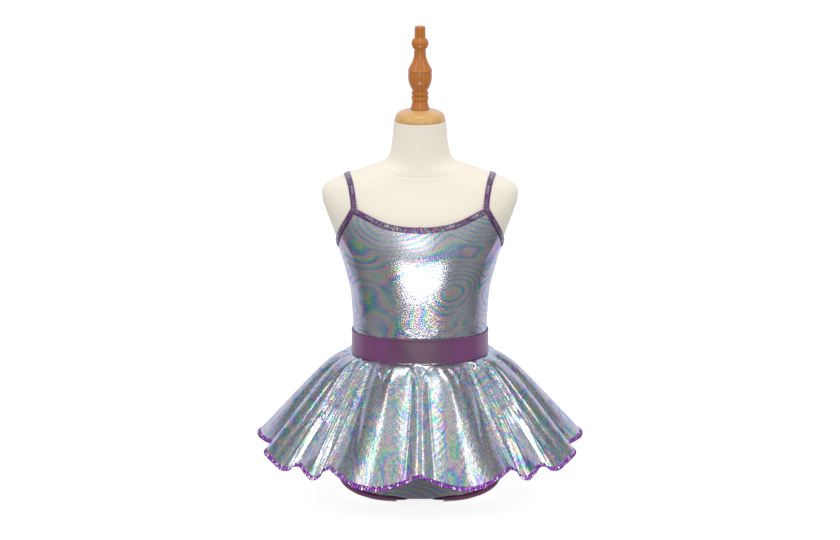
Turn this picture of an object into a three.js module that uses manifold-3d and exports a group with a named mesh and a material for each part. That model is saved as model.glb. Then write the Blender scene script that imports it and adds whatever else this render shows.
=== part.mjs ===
// A child's skirted dance leotard on a limbless dress form. Millimetres, +Z up, front towards -Y.
// Angles go round the form from the centre front (0) by way of +X (90) to the centre back (180).
import * as THREE from 'three';
import { mergeVertices } from 'three/addons/utils/BufferGeometryUtils.js';
import Module from 'manifold-3d';

const wasm = await Module();
wasm.setup();

// Cloth
const clothThickness = 1.2;
const clothClearance = 0.95;
const seamGap = 0.3;
const layerGap = 0.5;
const bindingWidth = 7;
const bindingThickness = 1.2;
const bindingCrown = 0.35;
const bindingButt = 4.4;
const strapWidth = 6.4;
const strapEase = 16;
const shoulderSearchLow = 330;
const legBindingWidth = 12;
const trimThickness = 1.9;

// Heights above the floor
const waistSeamHeight = 192;
const briefTopHeight = 200;
const bodiceHemHeight = 214;
const bandTopHeight = 221;
const bandFrontRise = 4;
const neckTopHeight = 491.7;
const capTopHeight = 507;
const finialTopHeight = 614;

// Crotch of the form and of the brief
const channelHalfWidth = 30;
const channelHeight = 16;
const channelRound = 6;
const channelLength = 240;
const channelBelow = 5;
const gussetHalfWidth = 27.5;
const gussetHeight = 6;
const gussetSeamHeight = 11.5;
const gussetReach = 0.975;
const underBindingReach = 0.9;
const bindingSwingSpan = 16;

// Skirt
const skirtColumns = 132;
const gatherCount = 33;
const gatherDepth = 1.4;
const skirtTopHeight = 191;
const skirtOffset = 3.35;
const hemTrimStart = 0.96;
const hemTrimGap = 0.0055;
const gatherFullAt = 0.12;
const gatherGoneAt = 0.6;
const waistGirth = 520;
const girthGain = 900;
const sideSeamRadius = 85;

// Half widths and depths of the form at each height, and how square its section is.
const formRows = [
  { height: 0, half: 70, front: 36, back: 40, square: 2.2 },
  { height: 6, half: 83, front: 49.5, back: 54, square: 2.2 },
  { height: 13, half: 92, front: 60, back: 66, square: 2.2 },
  { height: 22, half: 98.5, front: 69, back: 76, square: 2.2 },
  { height: 34, half: 102.5, front: 76.5, back: 84, square: 2.2 },
  { height: 52, half: 104.5, front: 82, back: 90, square: 2.2 },
  { height: 76, half: 104, front: 85, back: 93, square: 2.2 },
  { height: 102, half: 100.5, front: 86, back: 91, square: 2.2 },
  { height: 132, half: 94.5, front: 85, back: 84, square: 2.15 },
  { height: 162, half: 88.5, front: 82.5, back: 77, square: 2.15 },
  { height: 190, half: 84.5, front: 80, back: 73, square: 2.15 },
  { height: 208, half: 83.5, front: 79.5, back: 72.5, square: 2.15 },
  { height: 228, half: 83.8, front: 80, back: 73, square: 2.15 },
  { height: 252, half: 85.2, front: 81.5, back: 75, square: 2.15 },
  { height: 276, half: 87.6, front: 83.5, back: 78, square: 2.15 },
  { height: 300, half: 93.5, front: 85, back: 81, square: 2.15 },
  { height: 326, half: 101, front: 85, back: 83, square: 2.15 },
  { height: 350, half: 110, front: 81, back: 82, square: 2.15 },
  { height: 374, half: 119, front: 73, back: 77, square: 2.2 },
  { height: 390, half: 124.4, front: 64.5, back: 70.5, square: 2.2 },
  { height: 400, half: 125.2, front: 58, back: 64, square: 2.2 },
  { height: 408, half: 122.4, front: 53, back: 58, square: 2.2 },
  { height: 414, half: 114, front: 49.5, back: 54, square: 2.2 },
  { height: 420, half: 99.5, front: 46.5, back: 50.5, square: 2.15 },
  { height: 426, half: 83, front: 44, back: 47.5, square: 2.1 },
  { height: 431, half: 69, front: 42.3, back: 45, square: 2.1 },
  { height: 436, half: 54, front: 40.8, back: 43, square: 2.05 },
  { height: 441, half: 44.5, front: 39.5, back: 41, square: 2 },
  { height: 448, half: 39.5, front: 38, back: 39, square: 2 },
  { height: 460, half: 36.5, front: 36.5, back: 37, square: 2 },
  { height: 476, half: 34.6, front: 34.6, back: 34.6, square: 2 },
  { height: neckTopHeight, half: 33.6, front: 33.6, back: 33.6, square: 2 },
];

// Upper edges of the cloth: height against angle, right half.
const necklineRows = [
  { angle: 0, height: 367 },
  { angle: 9, height: 368 },
  { angle: 17, height: 370.6 },
  { angle: 24, height: 375 },
  { angle: 30.5, height: 380.4 },
  { angle: 37, height: 385.2 },
  { angle: 43, height: 387.6 },
];
const armholeRows = [
  { angle: 42.6, height: 390.5 },
  { angle: 43.6, height: 387 },
  { angle: 48.9, height: 377.5 },
  { angle: 56, height: 367.5 },
  { angle: 65.5, height: 355.5 },
  { angle: 76, height: 344 },
  { angle: 88, height: 335.5 },
  { angle: 104, height: 331 },
  { angle: 120, height: 333 },
  { angle: 134, height: 341 },
  { angle: 144, height: 351 },
  { angle: 146.2, height: 360 },
  { angle: 146.8, height: 367.5 },
];
const backNecklineRows = [
  { angle: 144.5, height: 351 },
  { angle: 152, height: 344 },
  { angle: 164, height: 337 },
  { angle: 180, height: 335 },
];

// Height of the leg line against angle, from the front corner of the gusset to the back one.
const legRows = [
  { angle: 16.2, height: 11.5 },
  { angle: 25, height: 9.2 },
  { angle: 38, height: 9.4 },
  { angle: 55, height: 12.5 },
  { angle: 72, height: 18.5 },
  { angle: 90, height: 24 },
  { angle: 108, height: 23 },
  { angle: 126, height: 17 },
  { angle: 144, height: 12 },
  { angle: 155, height: 10.4 },
  { angle: 163.8, height: 11.5 },
];

// Way of each strap over the shoulder: distance from the middle against depth (front is negative).
const strapRows = [
  { depth: -47.4, side: 85 },
  { depth: -26, side: 89 },
  { depth: 0, side: 91.6 },
  { depth: 22, side: 91 },
  { depth: 44, side: 80 },
  { depth: 67.4, side: 65.4 },
];

// The hem, right half, from the centre front to the centre back. A fold that laps its neighbour turns
// back in angle. Lift is 1 on a ridge, which leaves the waist flat, and 0 in a valley.
const hemRows = [
  { angle: 0, reach: 161, height: 61, lift: 0.1 },
  { angle: 7, reach: 178, height: 56, lift: 0.6 },
  { angle: 16, reach: 194, height: 50, lift: 1 },
  { angle: 24, reach: 194, height: 51, lift: 0.9 },
  { angle: 31, reach: 188, height: 57, lift: 0.7 },
  { angle: 38, reach: 179, height: 63, lift: 0.4 },
  { angle: 42.6, reach: 172, height: 64, lift: 0.1 },
  { angle: 44.4, reach: 179, height: 60, lift: 0.4 },
  { angle: 44, reach: 186, height: 54.5, lift: 0.8 },
  { angle: 46, reach: 192, height: 52, lift: 1 },
  { angle: 50, reach: 192, height: 58, lift: 0.7 },
  { angle: 55, reach: 188, height: 63, lift: 0.4 },
  { angle: 58.4, reach: 189, height: 61, lift: 0.3 },
  { angle: 58.6, reach: 196, height: 57, lift: 0.7 },
  { angle: 61.4, reach: 202, height: 56, lift: 0.9 },
  { angle: 66, reach: 206, height: 62, lift: 1 },
  { angle: 72, reach: 210, height: 70, lift: 1 },
  { angle: 74.4, reach: 206, height: 73, lift: 0.7 },
  { angle: 74.8, reach: 199.5, height: 76, lift: 0.3 },
  { angle: 76.8, reach: 197, height: 78, lift: 0.1 },
  { angle: 80.5, reach: 202, height: 79, lift: 0.4 },
  { angle: 86, reach: 208, height: 81, lift: 0.9 },
  { angle: 93, reach: 209, height: 83, lift: 1 },
  { angle: 100, reach: 202, height: 80, lift: 0.5 },
  { angle: 106, reach: 194, height: 77, lift: 0.1 },
  { angle: 112, reach: 198, height: 68, lift: 0.6 },
  { angle: 119, reach: 205, height: 60, lift: 1 },
  { angle: 126, reach: 199, height: 60, lift: 0.6 },
  { angle: 132, reach: 187, height: 65, lift: 0.1 },
  { angle: 137, reach: 186, height: 62, lift: 0.3 },
  { angle: 143, reach: 194, height: 53, lift: 0.9 },
  { angle: 150, reach: 196, height: 50, lift: 1 },
  { angle: 157, reach: 189, height: 56, lift: 0.5 },
  { angle: 163, reach: 175, height: 63, lift: 0.1 },
  { angle: 169, reach: 177, height: 60, lift: 0.4 },
  { angle: 175, reach: 187, height: 54, lift: 0.9 },
  { angle: 180, reach: 189, height: 53, lift: 1 },
];

// Turned finial: height above the cap and radius.
const finialRows = [
  { height: 0, radius: 12.2 },
  { height: 2, radius: 11.6 },
  { height: 6, radius: 9.6 },
  { height: 8.4, radius: 9.2 },
  { height: 9.4, radius: 10.2 },
  { height: 13.4, radius: 10.2 },
  { height: 14.4, radius: 9.4 },
  { height: 15.4, radius: 10.3 },
  { height: 19.4, radius: 10.3 },
  { height: 20.6, radius: 9.8 },
  { height: 27, radius: 11 },
  { height: 35, radius: 13.6 },
  { height: 42, radius: 15 },
  { height: 46, radius: 14.4 },
  { height: 48.4, radius: 15.3 },
  { height: 52, radius: 13.4 },
  { height: 58, radius: 9.6 },
  { height: 65, radius: 7.4 },
  { height: 74, radius: 7.2 },
  { height: 77.5, radius: 7.6 },
  { height: 80, radius: 9.8 },
  { height: 85, radius: 10.2 },
  { height: 88.6, radius: 9.4 },
  { height: 89.8, radius: 6.8 },
  { height: 104.6, radius: 6.2 },
];

const colours = {
  foil: { color: 0xb4bccb, roughness: 0.28, metalness: 0.9 },
  purple: { color: 0x7b3a80, roughness: 0.4, metalness: 0.6 },
  glitter: { color: 0x9a4fc0, roughness: 0.35, metalness: 0.7 },
  cream: { color: 0xf2ead9, roughness: 0.7, metalness: 0 },
  palewood: { color: 0xdcb98a, roughness: 0.5, metalness: 0 },
  turnedwood: { color: 0xb8702f, roughness: 0.3, metalness: 0 },
};

const radians = THREE.MathUtils.degToRad;

// Smooth value of one column of a table at a place in another, through every row.
function smooth(rows, place, from, to) {
  const last = rows.length - 1;
  const clamped = Math.min(Math.max(place, rows[0][from]), rows[last][from]);
  let i = 0;
  while (i < last - 1 && clamped > rows[i + 1][from]) i++;
  const slope = (j) => {
    const a = rows[Math.max(j - 1, 0)];
    const b = rows[Math.min(j + 1, last)];
    return (b[to] - a[to]) / (b[from] - a[from]);
  };
  const span = rows[i + 1][from] - rows[i][from];
  const t = (clamped - rows[i][from]) / span;
  const start = rows[i][to];
  const end = rows[i + 1][to];
  const rise = end - start;
  const m0 = slope(i) * span;
  const m1 = slope(i + 1) * span;
  return start + t * (m0 + t * (3 * rise - 2 * m0 - m1 + t * (m0 + m1 - 2 * rise)));
}

// Point on the form's surface, which the crotch channel then cuts.
function formPoint(angle, height) {
  const turn = radians(angle);
  const power = 2 / smooth(formRows, height, 'height', 'square');
  const side = Math.sin(turn);
  const ahead = Math.cos(turn);
  const depth = smooth(formRows, height, 'height', ahead > 0 ? 'front' : 'back');
  return new THREE.Vector3(
    Math.sign(side) * Math.abs(side) ** power * smooth(formRows, height, 'height', 'half'),
    -Math.sign(ahead) * Math.abs(ahead) ** power * depth,
    height,
  );
}

// Outward normal of a surface given by two values, with angle growing anticlockwise from above.
function normalOf(surface, a, b, stepA, stepB) {
  const along = surface(a + stepA, b).sub(surface(a - stepA, b));
  const up = surface(a, b + stepB).sub(surface(a, b - stepB));
  return along.cross(up).normalize();
}

// Point a distance outside the form, or outside the cloth that lies on it.
function onForm(angle, height, offset) {
  const normal = normalOf(formPoint, angle, height, 0.4, 0.4);
  return formPoint(angle, height).addScaledVector(normal, offset);
}

// Closed wall between an outer and an inner grid of points. A ring joins its last column to its first.
function wallGeometry(outer, inner, ring) {
  const rows = outer.length;
  const columns = outer[0].length;
  const positions = [...outer.flat(), ...inner.flat()].flatMap((p) => [p.x, p.y, p.z]);
  const index = [];
  const quad = (a, b, c, d) => index.push(a, b, c, a, c, d);
  const out = (i, j) => i * columns + (j % columns);
  const inn = (i, j) => rows * columns + out(i, j);
  const spans = ring ? columns : columns - 1;
  for (let j = 0; j < spans; j++) {
    for (let i = 0; i < rows - 1; i++) {
      quad(out(i, j), out(i, j + 1), out(i + 1, j + 1), out(i + 1, j));
      quad(inn(i, j), inn(i + 1, j), inn(i + 1, j + 1), inn(i, j + 1));
    }
    quad(out(0, j + 1), out(0, j), inn(0, j), inn(0, j + 1));
    quad(out(rows - 1, j), out(rows - 1, j + 1), inn(rows - 1, j + 1), inn(rows - 1, j));
  }
  for (let i = 0; i < rows - 1 && !ring; i++) {
    quad(out(i, 0), out(i + 1, 0), inn(i + 1, 0), inn(i, 0));
    quad(out(i + 1, columns - 1), out(i, columns - 1), inn(i, columns - 1), inn(i + 1, columns - 1));
  }
  return closedGeometry(positions, index);
}

// Geometry with its faces pointing out.
function closedGeometry(positions, index) {
  const corner = (k) => new THREE.Vector3().fromArray(positions, 3 * k);
  let volume = 0;
  for (let i = 0; i < index.length; i += 3) {
    volume += corner(index[i]).dot(corner(index[i + 1]).cross(corner(index[i + 2])));
  }
  if (volume < 0) index.reverse();
  const geometry = new THREE.BufferGeometry();
  geometry.setAttribute('position', new THREE.Float32BufferAttribute(positions, 3));
  geometry.setIndex(index);
  geometry.computeVertexNormals();
  return geometry;
}

const range = (count, start, end) =>
  Array.from({ length: count + 1 }, (_, i) => start + ((end - start) * i) / count);

const group = new THREE.Group();

function addMesh(name, geometry, finish) {
  const mesh = new THREE.Mesh(geometry, new THREE.MeshStandardMaterial(colours[finish]));
  mesh.name = name;
  group.add(mesh);
}

// Panel of cloth on the form between two heights that change with angle.
function addPanel(name, finish, { angles, shares, top, bottom, offset, ring = false }) {
  const grid = (away) =>
    shares.map((share) =>
      angles.map((angle) => onForm(angle, top(angle) + (bottom(angle) - top(angle)) * share, away)),
    );
  addMesh(name, wallGeometry(grid(offset + clothThickness), grid(offset), ring), finish);
}

// Strip of binding: each rib gives a point and a normal at a share of the strip's width.
const stripMiddle = 0.46;
const stripShares = [-0.08, stripMiddle, 1];

function addStrip(name, finish, ribs, thickness, ring = false) {
  const inner = stripShares.map((share) => ribs.map((rib) => rib(share).point));
  const outer = stripShares.map((share, k) =>
    ribs.map((rib) => {
      const { point, normal } = rib(share);
      return point.addScaledVector(normal, thickness + (k === 1 ? bindingCrown : 0));
    }),
  );
  addMesh(name, wallGeometry(outer, inner, ring), finish);
}

// Ribs on the form along rows of angle and height, with the strip on the side that side gives:
// 1 is below a line that runs with the angle. Turn swings a rib towards the centre front or back.
function formRibs(rows, { count, offset, width, mirror, side = 1, turn = () => 0 }) {
  const curve = new THREE.CatmullRomCurve3(rows.map((row) => new THREE.Vector3(row.angle, row.height, 0)),
    false, 'centripetal');
  const ribs = range(count, 0, 1).map((t) => {
    const { x: angle, y: height } = curve.getPointAt(t);
    const step = curve.getTangentAt(t);
    const normal = normalOf(formPoint, angle, height, 0.4, 0.4);
    const round = formPoint(angle + 0.5, height).sub(formPoint(angle - 0.5, height));
    const up = formPoint(angle, height + 0.5).sub(formPoint(angle, height - 0.5));
    const run = round.clone().multiplyScalar(step.x).addScaledVector(up, step.y).normalize();
    const swing = turn(angle);
    const towards = run.cross(normal).multiplyScalar(side * (1 - Math.abs(swing)))
      .addScaledVector(round.clone().normalize(), swing).normalize();
    const [rr, ru, uu] = [round.dot(round), round.dot(up), up.dot(up)];
    const [tr, tu] = [towards.dot(round), towards.dot(up)];
    const spread = rr * uu - ru * ru;
    const turnStep = (tr * uu - tu * ru) / spread;
    const climb = (tu * rr - tr * ru) / spread;
    return (share) => {
      const a = mirror * (angle + turnStep * share * width);
      const h = height + climb * share * width;
      return { point: onForm(a, h, offset), normal: normalOf(formPoint, a, h, 0.4, 0.4) };
    };
  });
  return mirror < 0 ? ribs.reverse() : ribs;
}

// The form: a smooth body whose base is cut flat and whose crotch is a round channel from front to back.
function addForm() {
  const turns = 40;
  const heights = [0, 3, 7, 13, 22, 34, 52, 76, 104, 134, 162, 186, 208, 230, 256, 282, 304, 328, 350, 370,
    384, 394, 402, 408, 414, 420, 426, 431, 436, 442, 450, 464, neckTopHeight];
  const positions = [];
  const index = [];
  heights.forEach((height) => {
    for (let j = 0; j < turns; j++) positions.push(...formPoint((360 * j) / turns, height).toArray());
  });
  const floorCentre = positions.length / 3;
  positions.push(0, 0, 0);
  const topCentre = floorCentre + 1;
  positions.push(0, 0, neckTopHeight);
  const topRow = (heights.length - 1) * turns;
  for (let j = 0; j < turns; j++) {
    const next = (j + 1) % turns;
    for (let i = 0; i < topRow; i += turns) {
      index.push(i + j, i + next, i + turns + next);
      index.push(i + j, i + turns + next, i + turns + j);
    }
    index.push(floorCentre, next, j);
    index.push(topCentre, topRow + j, topRow + next);
  }
  const profile = new THREE.Shape();
  const shoulder = channelHalfWidth - channelRound;
  profile.moveTo(-channelHalfWidth, -channelBelow);
  profile.lineTo(channelHalfWidth, -channelBelow);
  profile.lineTo(channelHalfWidth, channelHeight - channelRound);
  profile.absarc(shoulder, channelHeight - channelRound, channelRound, 0, Math.PI / 2, false);
  profile.lineTo(-shoulder, channelHeight);
  profile.absarc(-shoulder, channelHeight - channelRound, channelRound, Math.PI / 2, Math.PI, false);
  const extent = { depth: channelLength, bevelEnabled: false, curveSegments: 5 };
  const channel = new THREE.ExtrudeGeometry(profile, extent);
  channel.rotateX(Math.PI / 2);
  channel.translate(0, channelLength / 2, 0);
  const body = solidOf(closedGeometry(positions, index)).subtract(solidOf(channel));
  addMesh('form_torso', geometryOf(body), 'cream');
}

function solidOf(geometry) {
  const bare = geometry.index ? geometry.clone() : geometry;
  bare.deleteAttribute('normal');
  bare.deleteAttribute('uv');
  const merged = mergeVertices(bare, 1e-3);
  return new wasm.Manifold(
    new wasm.Mesh({
      numProp: 3,
      vertProperties: merged.attributes.position.array,
      triVerts: new Uint32Array(merged.index.array),
    }),
  );
}

function geometryOf(solid) {
  const mesh = solid.getMesh();
  const geometry = new THREE.BufferGeometry();
  geometry.setAttribute('position', new THREE.BufferAttribute(mesh.vertProperties, 3));
  geometry.setIndex(new THREE.BufferAttribute(mesh.triVerts, 1));
  geometry.computeVertexNormals();
  return geometry;
}

// Turned piece from radii and heights, closed on the axis.
function addTurned(name, finish, rows, base, segments) {
  const profile = [new THREE.Vector2(0, 0), ...rows.map((row) => new THREE.Vector2(row.radius, row.height))];
  profile.push(new THREE.Vector2(0, rows[rows.length - 1].height));
  const geometry = new THREE.LatheGeometry(profile, segments);
  geometry.rotateX(Math.PI / 2);
  geometry.translate(0, 0, base);
  addMesh(name, geometry, finish);
}

function addNeckFittings() {
  const capBase = neckTopHeight + seamGap;
  const capRows = [
    { height: 0, radius: 32.4 },
    { height: 4, radius: 32.4 },
    { height: 8, radius: 30.6 },
    { height: 11.6, radius: 26.8 },
    { height: 14, radius: 21 },
    { height: capTopHeight - capBase, radius: 13 },
  ];
  addTurned('neck_cap', 'palewood', capRows, capBase, 24);
  const finialBase = capTopHeight + seamGap;
  const stretch = (finialTopHeight - finialBase) / finialRows[finialRows.length - 1].height;
  const rows = finialRows.map(({ height, radius }) => ({ height: height * stretch, radius }));
  addTurned('neck_finial', 'turnedwood', rows, finialBase, 18);
}

const edgeHeight = (angle) => {
  const turn = Math.abs(angle > 180 ? angle - 360 : angle);
  const armholeStart = necklineRows[necklineRows.length - 1].angle;
  const backStart = backNecklineRows[0].angle;
  if (turn <= armholeStart) return smooth(necklineRows, turn, 'angle', 'height');
  if (turn >= backStart) return smooth(backNecklineRows, turn, 'angle', 'height');
  return smooth(armholeRows.slice(1, -2), turn, 'angle', 'height');
};

const bandTop = (angle) => bandTopHeight + bandFrontRise * Math.max(Math.cos(radians(angle)), 0) ** 2;

// Angles round half the body, mirrored about its middle, with the side seams left open a little.
function halfAngles(steps, middle) {
  const seam = THREE.MathUtils.radToDeg(seamGap / 2 / sideSeamRadius);
  const one = [...steps, 90 - seam];
  return [...one.map((a) => middle - a).reverse(), ...one.slice(1).map((a) => middle + a)];
}

function addBodice() {
  const front = halfAngles([0, 9, 18, 27, 36, 43, 49, 54, 63, 72, 81], 0);
  const back = halfAngles([0, 9, 18, 27, 35.5, 40, 45, 54, 63, 72, 81], 180);
  const shared = { bottom: () => bodiceHemHeight, offset: clothClearance, top: edgeHeight };
  addPanel('bodice_front', 'foil', { ...shared, angles: front, shares: range(11, 0, 1) });
  addPanel('bodice_back', 'foil', { ...shared, angles: back, shares: range(8, 0, 1) });
}

function addBindings() {
  const shared = { offset: clothClearance + clothThickness + layerGap, width: bindingWidth };
  const rowAt = (rows, angle) => ({ angle, height: smooth(rows, angle, 'angle', 'height') });
  const frontEnd = necklineRows[necklineRows.length - 1].angle - bindingButt;
  const backStart = backNecklineRows[0].angle + bindingButt;
  const frontRows = [...necklineRows.slice(0, -1), rowAt(necklineRows, frontEnd)];
  const frontHalf = (mirror) => formRibs(frontRows, { ...shared, count: 9, mirror });
  const front = [...frontHalf(-1).slice(0, -1), ...frontHalf(1)];
  addStrip('binding_neck_front', 'purple', front, bindingThickness);
  const backRows = [rowAt(backNecklineRows, backStart), ...backNecklineRows.slice(1)];
  const backHalf = (mirror) => formRibs(backRows, { ...shared, count: 7, mirror });
  const back = [...backHalf(1), ...backHalf(-1).slice(1)];
  addStrip('binding_neck_back', 'purple', back, bindingThickness);
  for (const [side, mirror] of [['right', 1], ['left', -1]]) {
    const ribs = formRibs(armholeRows, { ...shared, count: 24, mirror });
    addStrip('binding_armhole_' + side, 'purple', ribs, bindingThickness);
  }
}

// Straps lie on the shoulders: the form's upper surface is found under each point of their way.
function addStraps() {
  const topOfForm = (x, y) => {
    let low = shoulderSearchLow;
    let high = neckTopHeight;
    for (let halving = 0; halving < 40; halving++) {
      const middle = (low + high) / 2;
      const half = smooth(formRows, middle, 'height', 'half');
      const depth = smooth(formRows, middle, 'height', y < 0 ? 'front' : 'back');
      const power = smooth(formRows, middle, 'height', 'square');
      const inside = Math.abs(x / half) ** power + Math.abs(y / depth) ** power < 1;
      if (inside) low = middle;
      else high = middle;
    }
    return new THREE.Vector3(x, y, low);
  };
  const upNormal = (x, y) => {
    const step = 0.6;
    const along = topOfForm(x + step, y).sub(topOfForm(x - step, y));
    return along.cross(topOfForm(x, y + step).sub(topOfForm(x, y - step))).normalize();
  };
  const [first, last] = [strapRows[0].depth, strapRows[strapRows.length - 1].depth];
  const way = range(60, first, last).map((y) => topOfForm(smooth(strapRows, y, 'depth', 'side'), y));
  const curve = new THREE.CatmullRomCurve3(way, false, 'centripetal');
  const ribCount = 22;
  const length = curve.getLength();
  for (const [side, mirror] of [['right', 1], ['left', -1]]) {
    const ribs = range(ribCount, 0, 1).map((t) => {
      const place = curve.getPointAt(t);
      const normal = upNormal(place.x, place.y);
      const end = Math.min(t, 1 - t) * length;
      const lapped = Math.max(1 - end / strapEase, 0) ** 2;
      const rise = clothClearance + (clothThickness + layerGap) * lapped;
      const across = curve.getTangentAt(t).cross(normal).normalize();
      const flip = (v) => v.multiply(new THREE.Vector3(mirror, 1, 1));
      place.addScaledVector(normal, rise);
      return (share) => ({
        point: flip(place.clone().addScaledVector(across, (share - stripMiddle) * strapWidth)),
        normal: flip(normal.clone()),
      });
    });
    addStrip('strap_' + side, 'purple', ribs, bindingThickness);
  }
}

function addWaistband() {
  addPanel('waistband', 'purple', {
    angles: range(40, 0, 360).slice(0, -1),
    shares: range(3, 0, 1),
    top: bandTop,
    bottom: () => waistSeamHeight + seamGap,
    offset: clothClearance + clothThickness + layerGap,
    ring: true,
  });
}

// Brief: front and back panels down to the leg line, and a gusset between the thighs.
const gussetAngle = legRows[0].angle;

function legHeight(angle) {
  const turn = Math.abs(angle > 180 ? angle - 360 : angle);
  if (turn <= gussetAngle || turn >= 180 - gussetAngle) return gussetSeamHeight;
  return smooth(legRows, turn, 'angle', 'height');
}

function gussetPoint(x, share, offset) {
  const front = onForm(0, gussetSeamHeight, 0).y;
  const back = onForm(180, gussetSeamHeight, 0).y;
  const y = share < 0 ? -share * front : share * back;
  const rise = (gussetSeamHeight - gussetHeight) * Math.abs(share) ** 2.6;
  return new THREE.Vector3(x, y, gussetHeight + rise + offset);
}

function addBrief() {
  const columns = [0, 9, gussetAngle, 27, 36, 45, 54, 63, 72, 81];
  const shared = {
    shares: [0, 0.05, 0.14, 0.26, 0.4, 0.54, 0.67, 0.78, 0.87, 0.94, 1],
    top: () => briefTopHeight,
    bottom: legHeight,
    offset: clothClearance,
  };
  addPanel('brief_front', 'foil', { ...shared, angles: halfAngles(columns, 0) });
  addPanel('brief_back', 'foil', { ...shared, angles: halfAngles(columns, 180) });
  const shares = range(12, -gussetReach, gussetReach);
  const sides = range(4, -gussetHalfWidth, gussetHalfWidth);
  const grid = (offset) => sides.map((x) => shares.map((share) => gussetPoint(x, share, offset)));
  addMesh('gusset', wallGeometry(grid(0), grid(clothThickness), false), 'foil');
}

// Leg binding: a ring along the leg line on the panels and along the edge of the gusset. Near the gusset
// the ribs swing towards the middle, so that the strip turns the corner flat.
function addLegBindings() {
  const offset = clothClearance + clothThickness + layerGap;
  const down = new THREE.Vector3(0, 0, -1);
  const turn = (angle) => {
    const front = Math.max(1 - (angle - gussetAngle) / bindingSwingSpan, 0);
    const back = Math.max(1 - (180 - gussetAngle - angle) / bindingSwingSpan, 0);
    return back - front;
  };
  for (const [side, mirror] of [['right', 1], ['left', -1]]) {
    const shared = { count: 34, offset, width: legBindingWidth, mirror, side: -1, turn };
    const outside = formRibs(legRows, shared);
    const under = range(10, underBindingReach, -underBindingReach).map((place) => (share) => ({
      point: gussetPoint(mirror * (gussetHalfWidth - share * legBindingWidth), place, -layerGap),
      normal: down.clone(),
    }));
    const ribs = mirror > 0 ? [...outside, ...under] : [...outside, ...under.reverse()];
    addStrip('leg_binding_' + side, 'purple', ribs, bindingThickness, true);
  }
}

// The skirt: straight lines of cloth fan out from the waist seam to the hem, sagging as Bezier curves.
function hemCurve() {
  const other = hemRows.slice(1, -1).reverse().map((row) => ({ ...row, angle: 360 - row.angle }));
  const all = [...hemRows, ...other];
  const place = ({ angle, reach, height }) =>
    new THREE.Vector3(Math.sin(radians(angle)) * reach, -Math.cos(radians(angle)) * reach, height);
  const edge = new THREE.CatmullRomCurve3(all.map(place), true, 'centripetal');
  const lifts = new THREE.SplineCurve(all.map(({ lift }, i) => new THREE.Vector2(i, lift)).concat(
    new THREE.Vector2(all.length, hemRows[0].lift)));
  const sample = (t) => ({ point: edge.getPoint(t), lift: lifts.getPoint(t).y, run: 0 });
  const samples = range(2880, 0, 1).map(sample);
  for (let i = 1; i < samples.length; i++) {
    samples[i].run = samples[i - 1].run + samples[i].point.distanceTo(samples[i - 1].point);
  }
  const total = samples[samples.length - 1].run;
  return (fraction) => {
    const run = (fraction - Math.floor(fraction)) * total;
    let low = 0;
    let high = samples.length - 1;
    while (high - low > 1) {
      const middle = (low + high) >> 1;
      if (samples[middle].run > run) high = middle;
      else low = middle;
    }
    const t = (run - samples[low].run) / (samples[high].run - samples[low].run);
    return {
      point: samples[low].point.clone().lerp(samples[high].point, t),
      lift: THREE.MathUtils.lerp(samples[low].lift, samples[high].lift, t),
    };
  };
}

const hemAt = hemCurve();
const bezier = (a, b, t) => 3 * a * t * (1 - t) ** 2 + 3 * b * t ** 2 * (1 - t) + t ** 3;

function skirtPoint(fraction, down) {
  const { point: hem, lift } = hemAt(fraction);
  const waist = onForm(fraction * 360, skirtTopHeight, skirtOffset);
  const out = bezier(0.1 + 0.12 * lift, 0.3 + 0.12 * lift, down);
  const fall = bezier(0.05 - 0.05 * lift, 0.46 - 0.13 * lift, down);
  const point = new THREE.Vector3(
    waist.x + (hem.x - waist.x) * out,
    waist.y + (hem.y - waist.y) * out,
    waist.z + (hem.z - waist.z) * fall,
  );
  const ripple = gatherDepth * Math.sin(2 * Math.PI * gatherCount * fraction);
  const fade = Math.min(down / gatherFullAt, 1) * Math.max(1 - down / gatherGoneAt, 0) ** 1.5;
  return point.addScaledVector(new THREE.Vector3(waist.x, waist.y, 0).normalize(), ripple * fade);
}

// Half thickness of the skirt: the hem trim swells from the cloth to its own thickness.
function skirtHalf(down) {
  const swell = Math.max(down - hemTrimStart, 0) / (1 - hemTrimStart);
  return (clothThickness + (trimThickness - clothThickness) * swell) / 2;
}

function addSkirt() {
  const clothRows = [0, 0.06, 0.15, 0.28, 0.44, 0.62, 0.8, hemTrimStart - hemTrimGap];
  const trimRows = [hemTrimStart, (1 + hemTrimStart) / 2, 1];
  const half = skirtColumns / 2;
  for (const [side, start] of [['front', -0.25], ['back', 0.25]]) {
    const grid = (rows, face) =>
      rows.map((down) =>
        range(half, start, start + 0.5).map((fraction, j) => {
          const seam = seamGap / 2 / (waistGirth + girthGain * down);
          const held = fraction + (j === 0 ? seam : 0) - (j === half ? seam : 0);
          const normal = normalOf(skirtPoint, held, down, 0.0012, -0.004);
          return skirtPoint(held, down).addScaledVector(normal, face * skirtHalf(down));
        }),
      );
    addMesh('skirt_' + side, wallGeometry(grid(clothRows, 1), grid(clothRows, -1), false), 'foil');
    addMesh('hem_trim_' + side, wallGeometry(grid(trimRows, 1), grid(trimRows, -1), false), 'glitter');
  }
}

addForm();
addNeckFittings();
addBodice();
addBindings();
addStraps();
addWaistband();
addBrief();
addLegBindings();
addSkirt();

export default group;
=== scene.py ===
import math

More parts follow.
